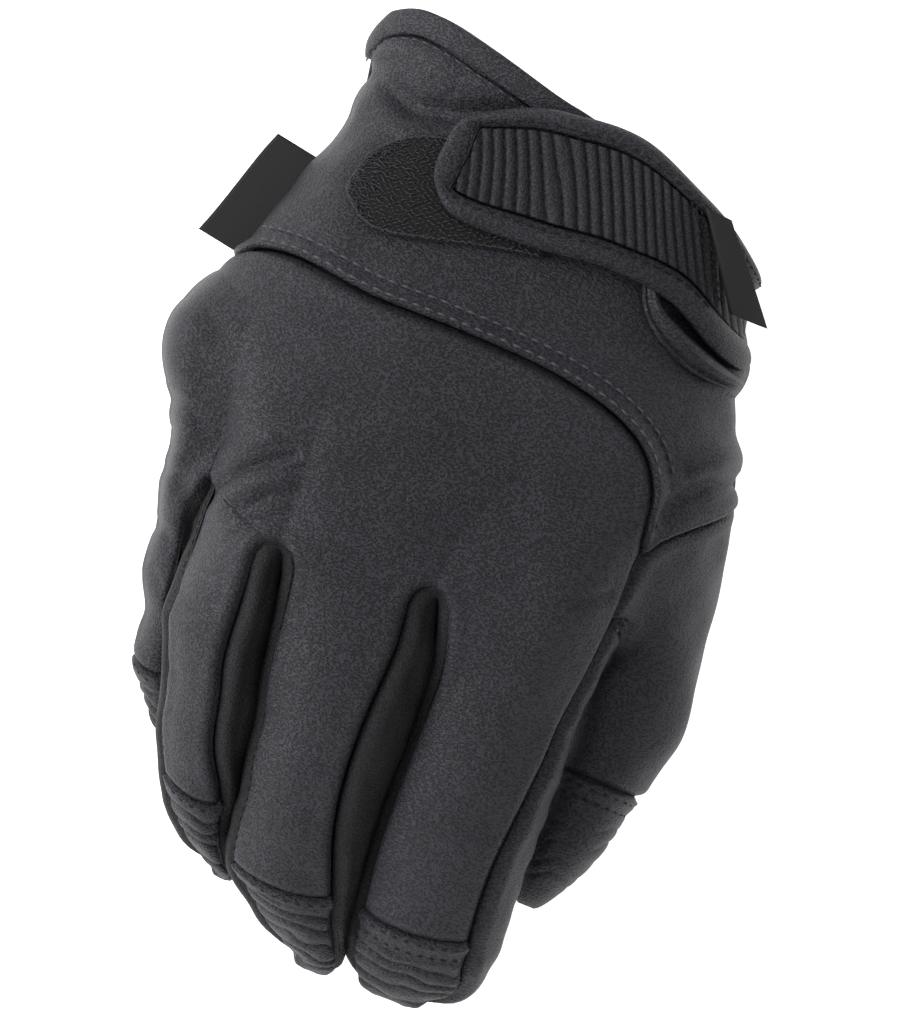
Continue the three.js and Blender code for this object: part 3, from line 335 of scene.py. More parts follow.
def strip(k, at, across, side, deep):
    """Back or underside of a finger, drawn to its neighbours by the squares of the shares across it.
    Near its slot the back also levels out towards the crests."""
    left_angle = seam_angle(k, "left", at, side)
    x, z = section(k, at, mix(left_angle, seam_angle(k, "right", at, side), across), deep)
    seam = 0 if side > 0 else 1
    left = edge_shift(k, "left", at, seam, deep)
    right = edge_shift(k, "right", at, seam, deep)
    pull = [left[i] * (1 - across) ** 2 + right[i] * across**2 for i in (0, 1)]
    z = z + pull[1]
    if side < 0:
        return x + pull[0], z
    crest = HAND_HEIGHT * read(FINGER_ROWS[k], "crest", at)
    flat, held = crest, levelled(k, at)
    for edge, near in (("left", 1 - across), ("right", across)):
        if 0 <= neighbour(k, edge) <= 3:
            flat = flat + (level_between(k, edge, at) - crest) * near**2
        else:
            held = held * ease((1 - near) / LEVEL_EDGE)
    return x + pull[0], z + held * (flat - deep - z)


def slot_share(at, k):
    return (at - 1) * (CUFF_REACH + SLOT_ROUND) / finger_length(k)


def side_of_index(at, across, deep):
    over = seam_angle(3, "right", at, 1)
    return section(3, at, mix(over, seam_angle(3, "right", at, -1), across), deep)


def hand(at, angle, deep=0.0):
    """The hand's surface: a tube at the cuff that turns into the fingers' sections from TUBE_END on."""
    at, angle, deep = np.broadcast_arrays(*(np.asarray(value, float) for value in (at, angle, deep)))
    x, z = tube(at, angle, deep)
    y = mix(cuff_line(angle), slot_y(angle), at) + np.maximum(deep * ease((at - 0.6) / 0.4), 0)
    weight = ease((at - TUBE_END) / (1 - TUBE_END))
    back, palm = back_edge(at), palm_edge(at)
    soft = [x.copy(), z.copy()]
    on_side = (angle < back) & (angle > -palm) & (weight > 0)
    if on_side.any():
        share = ((back - angle) / (back + palm))[on_side]
        for i, value in enumerate(side_of_index(slot_share(at, 3)[on_side], share, deep[on_side])):
            soft[i][on_side] = value
    for side in (1, -1):
        edges = borders(at, side)
        turn = side * angle
        for k in range(4):
            here = (weight > 0) & ~on_side & ((angle >= back) if side > 0 else (angle <= -palm))
            here &= (turn >= edges[k + 1]) if k < 3 else True
            here &= (turn < edges[k]) if k > 0 else True
            if not here.any():
                continue
            across = ((edges[k] - turn) / (edges[k] - edges[k + 1]))[here]
            for i, value in enumerate(strip(k, slot_share(at, k)[here], across, side, deep[here])):
                soft[i][here] = value
    return np.stack([mix(x, soft[0], weight), y, mix(z, soft[1], weight)], -1)


def cap_line(k, across):
    """Where a fingertip's cap starts: nearer the tip in the middle of the finger, by CAP_BOW."""
    return CAP_START[k] + CAP_BOW / finger_length(k) * (0.6 - (2 * across - 1) ** 2)


def finger_point(k, at, across, side, deep=0.0):
    """A point on a finger's strip: share from slot to tip, share across from left to right."""
    edges = borders(1.0, side)
    angle = side * mix(edges[k], edges[k + 1], across)
    x, z = strip(k, at, across, side, deep)
    y = mix(slot_y(angle), -FINGER_REACH[k], np.minimum(at, 1)) + deep
    return np.stack(np.broadcast_arrays(x, y, z), -1)


def shares(rows, columns):
    """Two grids of shares from 0 to 1: down the rows and across the columns."""
    return np.meshgrid(np.linspace(0, 1, rows), np.linspace(0, 1, columns), indexing="ij")


def grid_faces(rows, columns, ring=False):
    """Four-cornered faces of a grid of points, row by row; a ring joins its last column to its first."""
    width = columns if ring else columns + 1
    r, c = np.meshgrid(np.arange(rows), np.arange(columns), indexing="ij")
    after = (c + 1) % width
    quads = np.stack([r * width + c, (r + 1) * width + c, (r + 1) * width + after, r * width + after], -1)
    return quads.reshape(-1, 4)


def face_normals(points, quads):
    """Cross product of a face's diagonals."""
    return np.cross(points[quads[:, 2]] - points[quads[:, 0]], points[quads[:, 3]] - points[quads[:, 1]])


def point_normals(points, quads):
    """Sum of the normals of the faces round a point, at length one."""
    total = np.zeros_like(points)
    flat = face_normals(points, quads)
    for i in range(4):
        np.add.at(total, quads[:, i], flat)
    return unit(total)


def border_edges(quads):
    """Edges that only one face uses, in that face's direction."""
    edges = np.concatenate([quads[:, [i, (i + 1) % 4]] for i in range(4)])
    edges = edges[edges[:, 0] != edges[:, 1]]
    keys = np.sort(edges, axis=1)
    _, back, count = np.unique(keys, axis=0, return_inverse=True, return_counts=True)
    return edges[count[back.ravel()] == 1]


def distance_to(points, marks):
    """Distance from each point to the nearest of the marks."""
    nearest = np.empty(len(points))
    for start in range(0, len(points), 4000):
        block = points[start : start + 4000]
        square = (block**2).sum(1)[:, None] + (marks**2).sum(1)[None] - 2 * block @ marks.T
        nearest[start : start + 4000] = np.sqrt(np.maximum(square.min(1), 0))
    return nearest


def distance_to_path(points, path):
    """Distance in plan from each point to a line through the path's points, and the share along it."""
    path = np.asarray(path, float)
    lengths = np.linalg.norm(np.diff(path, axis=0), axis=1)
    begun = np.concatenate([[0], np.cumsum(lengths)])
    best = np.full(len(points), 1e9)
    share = np.zeros(len(points))
    for i, length in enumerate(lengths):
        way = (path[i + 1] - path[i]) / length
        offset = points[:, :2] - path[i]
        along = np.clip(offset @ way, 0, length)
        gap = np.linalg.norm(offset - along[:, None] * way, axis=1)
        closer = gap < best
        best = np.where(closer, gap, best)
        share = np.where(closer, (begun[i] + along) / begun[-1], share)
    return best, share


def folds(points, table):
    """Sum of bell-shaped folds along paths, deepest at their middles: depth times exp(-(gap / width)^2)."""
    total = np.zeros(len(points))
    for fold in table:
        gap, share = distance_to_path(points, fold["path"])
        stretch = np.clip(mix(fold.get("start", 0.0), fold.get("end", 1.0), share), 0, 1)
        fade = np.sin(np.pi * stretch) ** 0.6
        total += fold["depth"] * fade * np.exp(-((gap / fold["width"]) ** 2))
    return total


def lapped(gap, rise, width=0.8, reach=4.0):
    """Edge that laps over the next piece: a quarter circle up to rise, then down over its reach."""
    return rise * opened(gap, width) * (1 - ease((gap - width) / reach))


def traced(points, spacing):
    """Curve through plan points at an even spacing."""
    points = np.asarray(points, float)
    chord = np.concatenate([[0], np.cumsum(np.linalg.norm(np.diff(points, axis=0), axis=1))])
    table = {"at": chord, "x": points[:, 0], "y": points[:, 1]}
    place = np.linspace(0, chord[-1], max(int(chord[-1] / spacing), 2) + 1)
    return np.stack([read(table, "x", place), read(table, "y", place)], -1)


def laid(path, sheet, height=0.0):
    """Plan points put on a finished sheet, at the mean of its four nearest points that face up."""
    points, normals = sheet
    above = np.flatnonzero(normals[:, 2] > 0.1)
    offset = path[:, None, :2] - points[None, above, :2]
    near = above[np.argpartition((offset**2).sum(-1), 4, axis=1)[:, :4]]
    up = unit(normals[near].mean(1))
    z = points[near, 2].mean(1)
    return np.column_stack([path[:, :2], z]) + up * height, up


def stitches(path, up, length=2.0, space=0.7, thick=0.5):
    """Stitches along a path: each has five rings of six points, bowed up and sunk at both ends."""
    walked = np.concatenate([[0], np.cumsum(np.linalg.norm(np.diff(path, axis=0), axis=1))])
    count = max(int((walked[-1] + space) / (length + space)), 1)
    begin = np.arange(count) * (walked[-1] + space) / count
    step = np.linspace(0, 1, 5)
    along = begin[:, None] + length * step
    centre, lift_way = (
        np.stack([np.interp(along, walked, values[:, i]) for i in range(3)], -1) for values in (path, up)
    )
    aside = np.cross(unit(np.gradient(centre, axis=1)), lift_way)
    rise = thick * np.array([-0.55, 0.05, 0.22, 0.05, -0.55])[:, None]
    radius = thick * np.array([0.2, 0.45, 0.5, 0.45, 0.2])[:, None, None]
    turn = np.radians([0, 60, 120, 180, 240, 300])[:, None]
    middle = (centre + lift_way * rise)[:, :, None]
    rings = middle + radius * (np.cos(turn) * aside[:, :, None] + np.sin(turn) * lift_way[:, :, None])
    ends = [[0, 3, 2, 1], [0, 5, 4, 3], [24, 25, 26, 27], [24, 27, 28, 29]]
    one = np.concatenate([grid_faces(4, 6, ring=True), ends])
    quads = (one[None] + 30 * np.arange(count)[:, None, None]).reshape(-1, 4)
    return rings.reshape(-1, 3), quads


def joined(parts):
    """One list of points and faces out of several."""
    counts = np.cumsum([0] + [len(points) for points, _ in parts])
    quads = [faces + first for (_, faces), first in zip(parts, counts)]
    return np.concatenate([points for points, _ in parts]), np.concatenate(quads)


def ripples(points, pitch, seed, waves=9):
    """Mean of sine waves in scattered directions, each near the pitch: soft unevenness between -1 and 1."""
    rng = np.random.default_rng(seed)
    total = np.zeros(len(points))
    for _ in range(waves):
        way = rng.normal(size=3)
        way *= 2 * np.pi / (pitch * rng.uniform(0.7, 1.4) * np.linalg.norm(way))
        total += np.sin(points @ way + rng.uniform(0, 2 * np.pi))
    return total / math.sqrt(waves)


def add_node(tree, kind, links=None, **settings):
    """Adds a shader node, with its settings, and its sockets set to a value or linked to another socket."""
    made = tree.nodes.new(kind)
    for name, value in settings.items():
        setattr(made, name, value)
    for name, value in (links or {}).items():
        if isinstance(value, bpy.types.NodeSocket):
            tree.links.new(value, made.inputs[name])
        else:
            made.inputs[name].default_value = value
    return made


def srgb(code):
    """A six-digit sRGB colour in linear light."""
    parts = [int(code[i : i + 2], 16) / 255 for i in (1, 3, 5)]
    return tuple(p / 12.92 if p <= 0.04045 else ((p + 0.055) / 1.055) ** 2.4 for p in parts) + (1.0,)


def new_material(name):
    """A material with nodes: itself, its node tree and its shader."""
    material = bpy.data.materials.new(name)
    material.use_nodes = True
    return material, material.node_tree, material.node_tree.nodes["Principled BSDF"]


def grained_leather(name, colour, light, roughness, pitch, stretch, depth):
    """Goatskin: small pebbles parted by short, wavy creases, longer across the hand than along it.
    Painted shade darkens the creases and a painted highlight on the pebbles' tops gives a low, broken
    sheen."""
    material, tree, shader = new_material(name)
    place = add_node(tree, "ShaderNodeTexCoord").outputs["Object"]
    size = 1000 / pitch
    grain_place = add_node(
        tree, "ShaderNodeMapping",
        {"Vector": place, "Scale": (size / stretch, size, size / stretch**0.5)},
    )
    grain = add_node(
        tree, "ShaderNodeTexNoise",
        {"Vector": grain_place.outputs["Vector"], "Scale": 1.0, "Detail": 0.0, "Distortion": 0.3},
    )
    groove = add_node(
        tree, "ShaderNodeMapRange",
        {"Value": grain.outputs["Fac"], "From Min": 0.36, "From Max": 0.54, "To Min": 1.0, "To Max": 0.0},
        interpolation_type="SMOOTHSTEP",
    )
    fine = add_node(tree, "ShaderNodeTexNoise", {"Vector": place, "Scale": 2600.0, "Detail": 1.0})
    height = add_node(
        tree, "ShaderNodeMath", {0: groove.outputs["Result"], 1: -1.0, 2: fine.outputs["Fac"]},
        operation="MULTIPLY_ADD",
    )
    bump = add_node(
        tree, "ShaderNodeBump",
        {"Height": height.outputs["Value"], "Distance": depth / 1000, "Strength": 1.0},
    )
    cloud = add_node(tree, "ShaderNodeTexNoise", {"Vector": place, "Scale": 25.0, "Detail": 1.0})
    # Painted shade and highlight: darker in the creases, lighter on the pebbles' tops, over a soft mottling
    # from the cloud.
    crease_shade_and_mottling = add_node(
        tree, "ShaderNodeMath", {0: groove.outputs["Result"], 1: -1.15, 2: cloud.outputs["Fac"]},
        operation="MULTIPLY_ADD",
    )
    ramp = add_node(
        tree, "ShaderNodeMapRange",
        {"Value": crease_shade_and_mottling.outputs["Value"], "From Min": -0.95, "From Max": 0.8, "To Min": 0.0, "To Max": 1.0},
    )
    # The second colour, light, is the painted highlight on the pebbles' tops; the first is the hide's own
    # dark colour.
    tint_with_painted_light = add_node(
        tree, "ShaderNodeMixRGB",
        {"Fac": ramp.outputs["Result"], "Color1": srgb(colour), "Color2": srgb(light)},
    )
    tree.links.new(tint_with_painted_light.outputs["Color"], shader.inputs["Base Color"])
    tree.links.new(bump.outputs["Normal"], shader.inputs["Normal"])
    shader.inputs["Roughness"].default_value = roughness
    shader.inputs["Specular IOR Level"].default_value = 0.3
    return material


def shaded(name, points, quads, material, slot, nodes):
    """A mesh piece from points in millimetres, riding on the glove and standing for its CAD nodes."""
    mesh = bpy.data.meshes.new(name)
    mesh.from_pydata(((points + HEEL) / 1000).tolist(), [], quads.tolist())
    mesh.validate()
    mesh.polygons.foreach_set("use_smooth", np.full(len(mesh.polygons), True))
    mesh.materials.append(material)
    piece = bpy.data.objects.new(name, mesh)
    bpy.context.scene.collection.objects.link(piece)
    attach(piece, "root")
    if nodes:
        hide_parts(*nodes)


def walled(name, outer, inner, quads, material, slot, nodes):
    """A closed wall: the outer sheet, the inner one turned round, and a strip along each open edge."""
    count = len(outer)
    edges = border_edges(quads)
    rim = np.stack([edges[:, 1], edges[:, 0], edges[:, 0] + count, edges[:, 1] + count], -1)
    faces = np.concatenate([quads, quads[:, ::-1] + count, rim])
    points = np.concatenate([outer, inner])
    if (face_normals(points, faces) * points[faces].mean(1)).sum() < 0:
        faces = faces[:, ::-1]
    shaded(name, points, faces, material, slot, nodes)


def outward(points, quads, inner):
    """Normals that point away from the inner sheet."""
    normals = point_normals(points, quads)
    side = np.sign(((points - inner) * normals).sum(1)).sum()
    return normals if side > 0 else -normals


def sewn_sheet(outer, inner, quads):
    """Outward normals of a sheet, and the distance from each of its points to its sewn edge."""
    return outward(outer, quads, inner), distance_to(outer, outer[np.unique(border_edges(quads))])


def raised(outer, normals, lift):
    """The sheet moved out along its normals by lift, never under the table."""
    points = outer + normals * lift[:, None]
    points[:, 2] = np.maximum(points[:, 2], 0)
    return points


def hand_panel_sheets(side, cell):
    """The panel over the hand and four fingers: its outer and inner points, and its faces."""
    across_steps = int(27 / cell)
    hand_rows = int(72 / cell)
    columns = np.arange(4 * across_steps + 1)
    k_of = np.minimum(columns // across_steps, 3)
    share_of = columns / across_steps - k_of

    def angles(at):
        edges = np.stack(np.broadcast_arrays(*borders(at, side)), -1)
        low = np.take_along_axis(edges, np.broadcast_to(k_of, at.shape)[..., None], -1)[..., 0]
        high = np.take_along_axis(edges, np.broadcast_to(k_of + 1, at.shape)[..., None], -1)[..., 0]
        return side * mix(low, high, share_of)

    rows = np.linspace(0, 1, hand_rows + 1)[:, None]
    start_at = np.full((1, len(columns)), 0.8 if side > 0 else 0.5)
    start = read(WRIST_SEAM, "at", angles(start_at), by="angle") + SEAM_GAP / 2 / CUFF_REACH
    at = mix(start, 1.0, rows)
    turn = angles(at)
    sheets = [[hand(at, turn, deep).reshape(-1, 3)] for deep in (0.0, LEATHER)]
    quads = [grid_faces(hand_rows, len(columns) - 1)]
    used = at.size
    last_row = hand_rows * len(columns)
    for k in range(4):
        finger_rows = int(finger_length(k) / cell)
        share = np.linspace(0, 1, across_steps + 1)[None]
        end = cap_line(k, share) if side > 0 else UNDER_END + 0 * share
        place = end * np.linspace(0, 1, finger_rows + 1)[1:, None] ** TIP_SPACING
        for i, deep in enumerate((0.0, LEATHER)):
            sheets[i].append(finger_point(k, place, share, side, deep).reshape(-1, 3))
        faces = grid_faces(finger_rows, across_steps)
        width = across_steps + 1
        faces = np.where(faces < width, faces + last_row + k * across_steps, faces - width + used)
        quads.append(faces)
        used += finger_rows * width
    return np.concatenate(sheets[0]), np.concatenate(sheets[1]), np.concatenate(quads)


BACK_FOLDS = [
    {"path": [(38.5, -1.2), (35, -5), (31, -8)], "depth": -0.8, "width": 1.2, "end": 0.7},
    {"path": [(-34, -1), (-38, -4), (-43, -8), (-46.9, -12.5), (-47.8, -18.8), (-47.5, -30), (-46.9, -40)],
     "depth": -1.7, "width": 0.9, "start": 0.1, "end": 0.5},
    {"path": [(-32, -5), (-38, -8.5), (-43, -13), (-45, -20)], "depth": 0.9, "width": 2.2},
    {"path": [(-38, 1), (-44, -3), (-49, -9), (-51, -18)], "depth": 0.9, "width": 2.4},
    {"path": [(-28, -1), (-33, -4), (-38, -6)], "depth": -0.5, "width": 0.7},
    {"path": [(-30, -8), (-36, -11), (-41, -17)], "depth": -0.5, "width": 0.8},
    {"path": [(-31, -13), (-37, -17), (-41, -23)], "depth": -0.4, "width": 0.9},
    {"path": [(-30, 2), (-35, 1), (-40, -2)], "depth": -0.4, "width": 0.8},
    {"path": [(-61, 27), (-64.5, 20), (-66.5, 12), (-66.5, 4), (-62, -6)], "depth": 2.4, "width": 5.0},
    {"path": [(-66, 1), (-59, 0), (-52, -4)], "depth": -0.8, "width": 1.8},
    {"path": [(-61, -13), (-54, -15), (-49, -19)], "depth": -0.7, "width": 1.6},
    {"path": [(-59, -24), (-53, -26), (-50, -30)], "depth": -0.6, "width": 1.4},
    {"path": [(-68, 21), (-61, 19), (-54, 13)], "depth": -0.5, "width": 2.0},
    {"path": [(-54, -34), (-49, -38)], "depth": -0.8, "width": 1.3},
    {"path": [(-47, -36), (-42, -37), (-36, -35)], "depth": -0.45, "width": 1.4},
    {"path": [(-46, -50), (-40, -52), (-34, -49)], "depth": -0.35, "width": 1.3},
    {"path": [(-25, -34), (-20, -36), (-12, -35)], "depth": -0.3, "width": 1.5},
    {"path": [(-24, -52), (-14, -56), (-2, -54)], "depth": -0.35, "width": 1.8},
    {"path": [(-19, -66), (-12, -69), (-1, -67)], "depth": -0.35, "width": 1.6},
    {"path": [(12, -57), (22, -60), (35, -57)], "depth": -0.25, "width": 1.8},
    {"path": [(-8, 14), (4, 10), (16, 10)], "depth": -0.5, "width": 6.0},
]


def sewn_edge(gap, drop=1.3, width=0.9, puff=0.35, ridge=2.6):
    """Edge turned into a seam: it falls by drop at the seam and swells by puff at ridge from it."""
    return -drop * np.exp(-((gap / width) ** 2)) + puff * np.exp(-(((gap - ridge) / (0.6 * ridge)) ** 2))


glove_leather = grained_leather("goatskin_glove_leather", "#131316", "#323138", 0.52, 0.34, 2.2, 0.2)
palm_leather = grained_leather("goatskin_palm_leather", "#131316", "#2a292e", 0.6, 0.34, 1.5, 0.16)
# Darker copy of the glove's goatskin: painted shade for the strips that lie deep between the fingers.
painted_shade_strip_leather = grained_leather("goatskin_strip_leather_painted_shade", "#0a0a0b", "#1e1d21", 0.6, 0.4, 1.3, 0.1)

CELL = 0.66
outer, inner, quads = hand_panel_sheets(1, CELL)
normals, edge_gap = sewn_sheet(outer, inner, quads)
lift = sewn_edge(edge_gap) + folds(outer, BACK_FOLDS)
lift += 0.16 * ripples(outer, 14, 3) * ease(edge_gap / 6)
back_points = outer + normals * lift[:, None]
back_sheet = (back_points, normals)
walled("back_of_hand", back_points, inner, quads, glove_leather, "glove_leather", ["back_panel"])

# Palm and undersides of the fingers: one leather panel, plainer than the back.
# It is the same hide with a matte face, sewn to the side strips and to the thumb.
outer, inner, quads = hand_panel_sheets(-1, 1.1)
normals, edge_gap = sewn_sheet(outer, inner, quads)
lift = sewn_edge(edge_gap, drop=0.9)
lift += 0.25 * ripples(outer, 16, 5) * ease(edge_gap / 6) * ease(outer[:, 2] / 4)
palm_points = raised(outer, normals, lift)
walled("palm_of_hand", palm_points, inner, quads, palm_leather, "palm_leather", ["palm_panel"])

# Side strips between the fingers: narrow bands of leather that run from one tip round the slot to the next.
# They give the fingers their depth; their edges are sewn to the back and to the palm. Those between the
# fingers are coloured darker, as painted shade.


def finger_side(k, edge, at, across, deep=0.0):
    """A point on the side of a finger, from its back seam (0) to its palm seam (1)."""
    border = borders(1.0, 1)[k if edge == "left" else k + 1]
    over = seam_angle(k, edge, at, 1)
    below = seam_angle(k, edge, at, -1) + (360 if edge == "left" else 0)
    x, z = section(k, at, mix(over, below, across), deep)
    shift = edge_shift(k, edge, at, across, deep)
    start = mix(slot_y(border), slot_y(-border), across)
    z = z + shift[1]
    if 0 <= neighbour(k, edge) <= 3:
        seam = section(k, at, over, deep)[1] + edge_shift(k, edge, at, 0.0, deep)[1]
        drawn = mix(seam, z, across)
        z = z + levelled(k, at) * (1 - across) * (level_between(k, edge, at) - deep - drawn)
    return np.stack(np.broadcast_arrays(x + shift[0], mix(start, -FINGER_REACH[k], at) + deep, z), -1)


def side_strip(stretches, rows, columns):
    """A side strip's outer and inner points; a stretch is a finger, its edge, shares from slot to tip."""
    sheets = []
    for deep in (0.0, LEATHER):
        parts = []
        for k, edge, steps in stretches:
            first, last = finger_side(k, edge, steps, 0.0), finger_side(k, edge, steps, 1.0)
            inset = np.minimum(1.8 * SEAM_GAP / np.linalg.norm(first - last, axis=-1), 0.3)[:, None]
            across = mix(inset, 1 - inset, np.linspace(0, 1, columns + 1)[None])
            parts.append(finger_side(k, edge, steps[:, None], across, deep))
        sheets.append(np.concatenate(parts).reshape(-1, 3))
    count = sum(len(steps) for _, _, steps in stretches)
    return sheets[0], sheets[1], grid_faces(count - 1, columns)


strip_rows = 130
strip_columns = 26
slot_to_tip = 0.985 * np.linspace(0, 1, strip_rows) ** TIP_SPACING
SIDE_STRIPS = {
    "fourchette_little_ring": [(0, "right", slot_to_tip[::-1]), (1, "left", slot_to_tip[1:])],
    "fourchette_ring_middle": [(1, "right", slot_to_tip[::-1]), (2, "left", slot_to_tip[1:])],
    "fourchette_middle_index": [(2, "right", slot_to_tip[::-1]), (3, "left", slot_to_tip[1:])],
    "index_side": [(3, "right", slot_to_tip)],
}
for seed, (node, stretches) in enumerate(SIDE_STRIPS.items()):
    outer, inner, quads = side_strip(stretches, strip_rows, strip_columns)
    normals, edge_gap = sewn_sheet(outer, inner, quads)
    lift = sewn_edge(edge_gap, drop=1.0) + (0.5 + 0.2 * ripples(outer, 9, seed)) * ease(edge_gap / 3)
    # Painted shade: the strips between the fingers take the darker leather, and the index side keeps the
    # glove's.
    strip_material = glove_leather if node == "index_side" else painted_shade_strip_leather
    strip_points = outer + normals * lift[:, None]
    name = node.replace("fourchette", "strip")
    walled(name, strip_points, inner, quads, strip_material, "glove_leather", [node])

# Fingertip caps: leather moulded with curved ribs for grip, sewn over the end of each finger.
# The ribs follow the round of the tip and die out under it.
RIB_PITCH = 2.3
RIB_HEIGHT = 0.75
cap_sheets = []
for k, node in enumerate(["little_tip", "ring_tip", "middle_tip", "index_tip"]):
    length = finger_length(k)
    share = np.linspace(0, 1, 56)[None]
    start = cap_line(k, share) + SEAM_GAP / 2 / length
    over_steps = mix(start, 1, np.linspace(0, 1, 120)[:, None])
    under_steps = np.linspace(1, UNDER_END + SEAM_GAP / length, 16)[1:, None]
    sheets = [
        np.concatenate([
            finger_point(k, over_steps, share, 1, deep),
            finger_point(k, under_steps, share, -1, deep),
        ])
        for deep in (0.0, LEATHER)
    ]
    rows, columns = sheets[0].shape[:2]
    outer, inner = (sheet.reshape(-1, 3) for sheet in sheets)
    quads = grid_faces(rows - 1, columns - 1)
    normals, edge_gap = sewn_sheet(outer, inner, quads)
    under = np.zeros((len(under_steps), columns))
    walked = np.concatenate([(over_steps - start) * length, (1 - start) * length + under])
    wander = 0.5 * ripples(outer, 9, 20 + k).reshape(rows, columns)
    ribs = np.abs(np.sin(np.pi * (walked + wander - 0.6) / RIB_PITCH)) ** 0.45
    on_back = np.concatenate([ease((1.02 - over_steps) * length / 4) + 0 * share, under])
    past_seam = ease((walked - (3.0 if k == 3 else 0.8)) / 1.0)
    fade = (on_back * past_seam).ravel() * ease(edge_gap / 1.4)
    lift = RIB_HEIGHT * (ribs.ravel() - 0.8) * fade
    at_seam = walked.ravel()
    sides = sewn_edge(edge_gap, drop=0.9, puff=0.1, ridge=1.5)
    at_lap = lapped(at_seam, 0.55, 0.5, 2.4) + np.minimum(sides, 0) * ease(at_seam / 3)
    lift += np.where(at_seam < 3, at_lap, sides)
    cap_points = raised(outer, normals, lift)
    cap_sheets.append((cap_points, normals))
    walled(node.replace("_tip", "_cap"), cap_points, inner, quads, glove_leather, "glove_leather", [node])

# Thumb: a tube of leather set into the side of the hand, with a ribbed cap of its own.
# Its root seam runs round the hole between back, palm and wrist, with a soft fold beside the index finger.
THUMB_REACH = 70.0
THUMB_ROUND = 13.0
THUMB_SQUARE = 0.9
THUMB_TIP_WIDTH = 0.3
THUMB_CAP = 0.7
THUMB_CAP_ROWS = (1.2, 3.9)  # rows of stitches, from the cap's edge
THUMB_SECTIONS = {
    "at": [0.0, 0.22, 0.4, 0.55, 0.7, 0.85, 1],
    "left_x": [0.435, 0.41, 0.385, 0.378, 0.385, 0.388, 0.4],
    "left_y": [-0.143, -0.229, -0.314, -0.429, -0.586, -0.771, -1],
    "right_x": [0.56, 0.582, 0.6, 0.621, 0.582, 0.556, 0.5],
    "right_y": [0.286, 0.057, -0.157, -0.371, -0.586, -0.771, -1],
    "top": [0.7, 0.62, 0.57, 0.53, 0.49, 0.44, 0.36],
    "under": [0.06, 0.03, 0.02, 0.01, 0, 0, 0],
}
THUMB_LENGTH = THUMB_REACH * (1 + THUMB_SECTIONS["right_y"][0])


def thumb_tube(at, angle, deep):
    """Superellipse between the two ends of each section, rounded off at the tip."""
    value = {name: read(THUMB_SECTIONS, name, at) for name in THUMB_SECTIONS if name != "at"}
    rounding = np.sqrt(1 - np.clip((at - 1) * THUMB_LENGTH / THUMB_ROUND + 1, 0, 1) ** 2)
    left = np.stack([value["left_x"] * HAND_WIDTH, value["left_y"] * THUMB_REACH], -1)
    right = np.stack([value["right_x"] * HAND_WIDTH, value["right_y"] * THUMB_REACH], -1)
    middle = (left + right) / 2
    width = np.linalg.norm(right - middle, axis=-1)
    reach = (mix(THUMB_TIP_WIDTH, 1, rounding) * width - deep) / width * bulge(cosine(angle), THUMB_SQUARE)
    plan = middle + (right - middle) * reach[..., None]
    high = (value["top"] - value["under"]) / 2 * HAND_HEIGHT * rounding
    high -= deep * mix(TIP_WALL, 1, rounding)
    centre = (value["top"] + value["under"]) / 2 * HAND_HEIGHT
    z = centre + np.maximum(high, 0) * bulge(sine(angle), THUMB_SQUARE)
    return np.stack([plan[..., 0], plan[..., 1] + deep * ease(at * 3), np.maximum(z, deep)], -1)


def root_point(turn, deep):
    """Round the thumb's root: down the back, under the index finger, along the palm, up the wrist."""
    inset = 0.8 * SEAM_GAP / hand_length(0.0)
    aside = 0.9
    top = (0.8 + inset, 1 - 3 * inset)
    low = read(WRIST_SEAM, "at", -38.0, by="angle") + inset
    at = [mix(*top, turn), np.full_like(turn, top[1]), mix(top[1], low, turn - 2)]
    angle = [back_edge(at[0]) - aside,
             mix(back_edge(top[1]) - aside, aside - palm_edge(top[1]), turn - 1),
             aside - palm_edge(at[2])]
    last = mix(aside - palm_edge(low), back_edge(0.8) - aside, turn - 3)
    rise = read(WRIST_SEAM, "at", last, by="angle") + inset
    at.append(mix(rise, top[0], ease((last - 32) / 3)))
    angle.append(last)
    stretch = [turn < 1, turn < 2, turn < 3]
    return hand(np.select(stretch, at[:3], at[3]), np.select(stretch, angle[:3], angle[3]), deep)


def thumb_point(at, turn, deep=0.0):
    """The root ring turning into the tube over the first 0.3 of the thumb's length."""
    at, turn = np.broadcast_arrays(np.asarray(at, float), np.asarray(turn, float))
    angle = np.interp(turn, [0, 1, 2, 3, 4], [78, 140, 215, 300, 438])
    weight = ease(at / 0.3)[..., None]
    return mix(root_point(turn, deep), thumb_tube(np.maximum(at, 0), angle, deep), weight)


ring = 168
turns = np.linspace(0, 4, ring, endpoint=False)[None]
rows = 120
thumb_steps = np.linspace(0, THUMB_CAP - SEAM_GAP / 2 / THUMB_REACH, rows)[:, None]
outer, inner = (thumb_point(thumb_steps, turns, deep).reshape(-1, 3) for deep in (0.0, LEATHER))
quads = grid_faces(rows - 1, ring, ring=True)
normals, edge_gap = sewn_sheet(outer, inner, quads)
THUMB_FOLDS = [
    {"path": [(40, 15), (42.5, 20), (46.2, 25)], "depth": -1.6, "width": 2.4},
    {"path": [(40.6, -10), (41.5, -20), (42.5, -30)], "depth": 0.8, "width": 3.0},
    {"path": [(46, 8), (50, -4), (52, -18)], "depth": 0.4, "width": 4.0},
]
lift = sewn_edge(edge_gap, drop=1.1) + folds(outer, THUMB_FOLDS)
lift += 0.2 * ripples(outer, 13, 8) * ease(edge_gap / 6)
thumb_points = raised(outer, normals, lift)
walled("thumb_tube", thumb_points, inner, quads, glove_leather, "glove_leather", ["thumb_panel"])

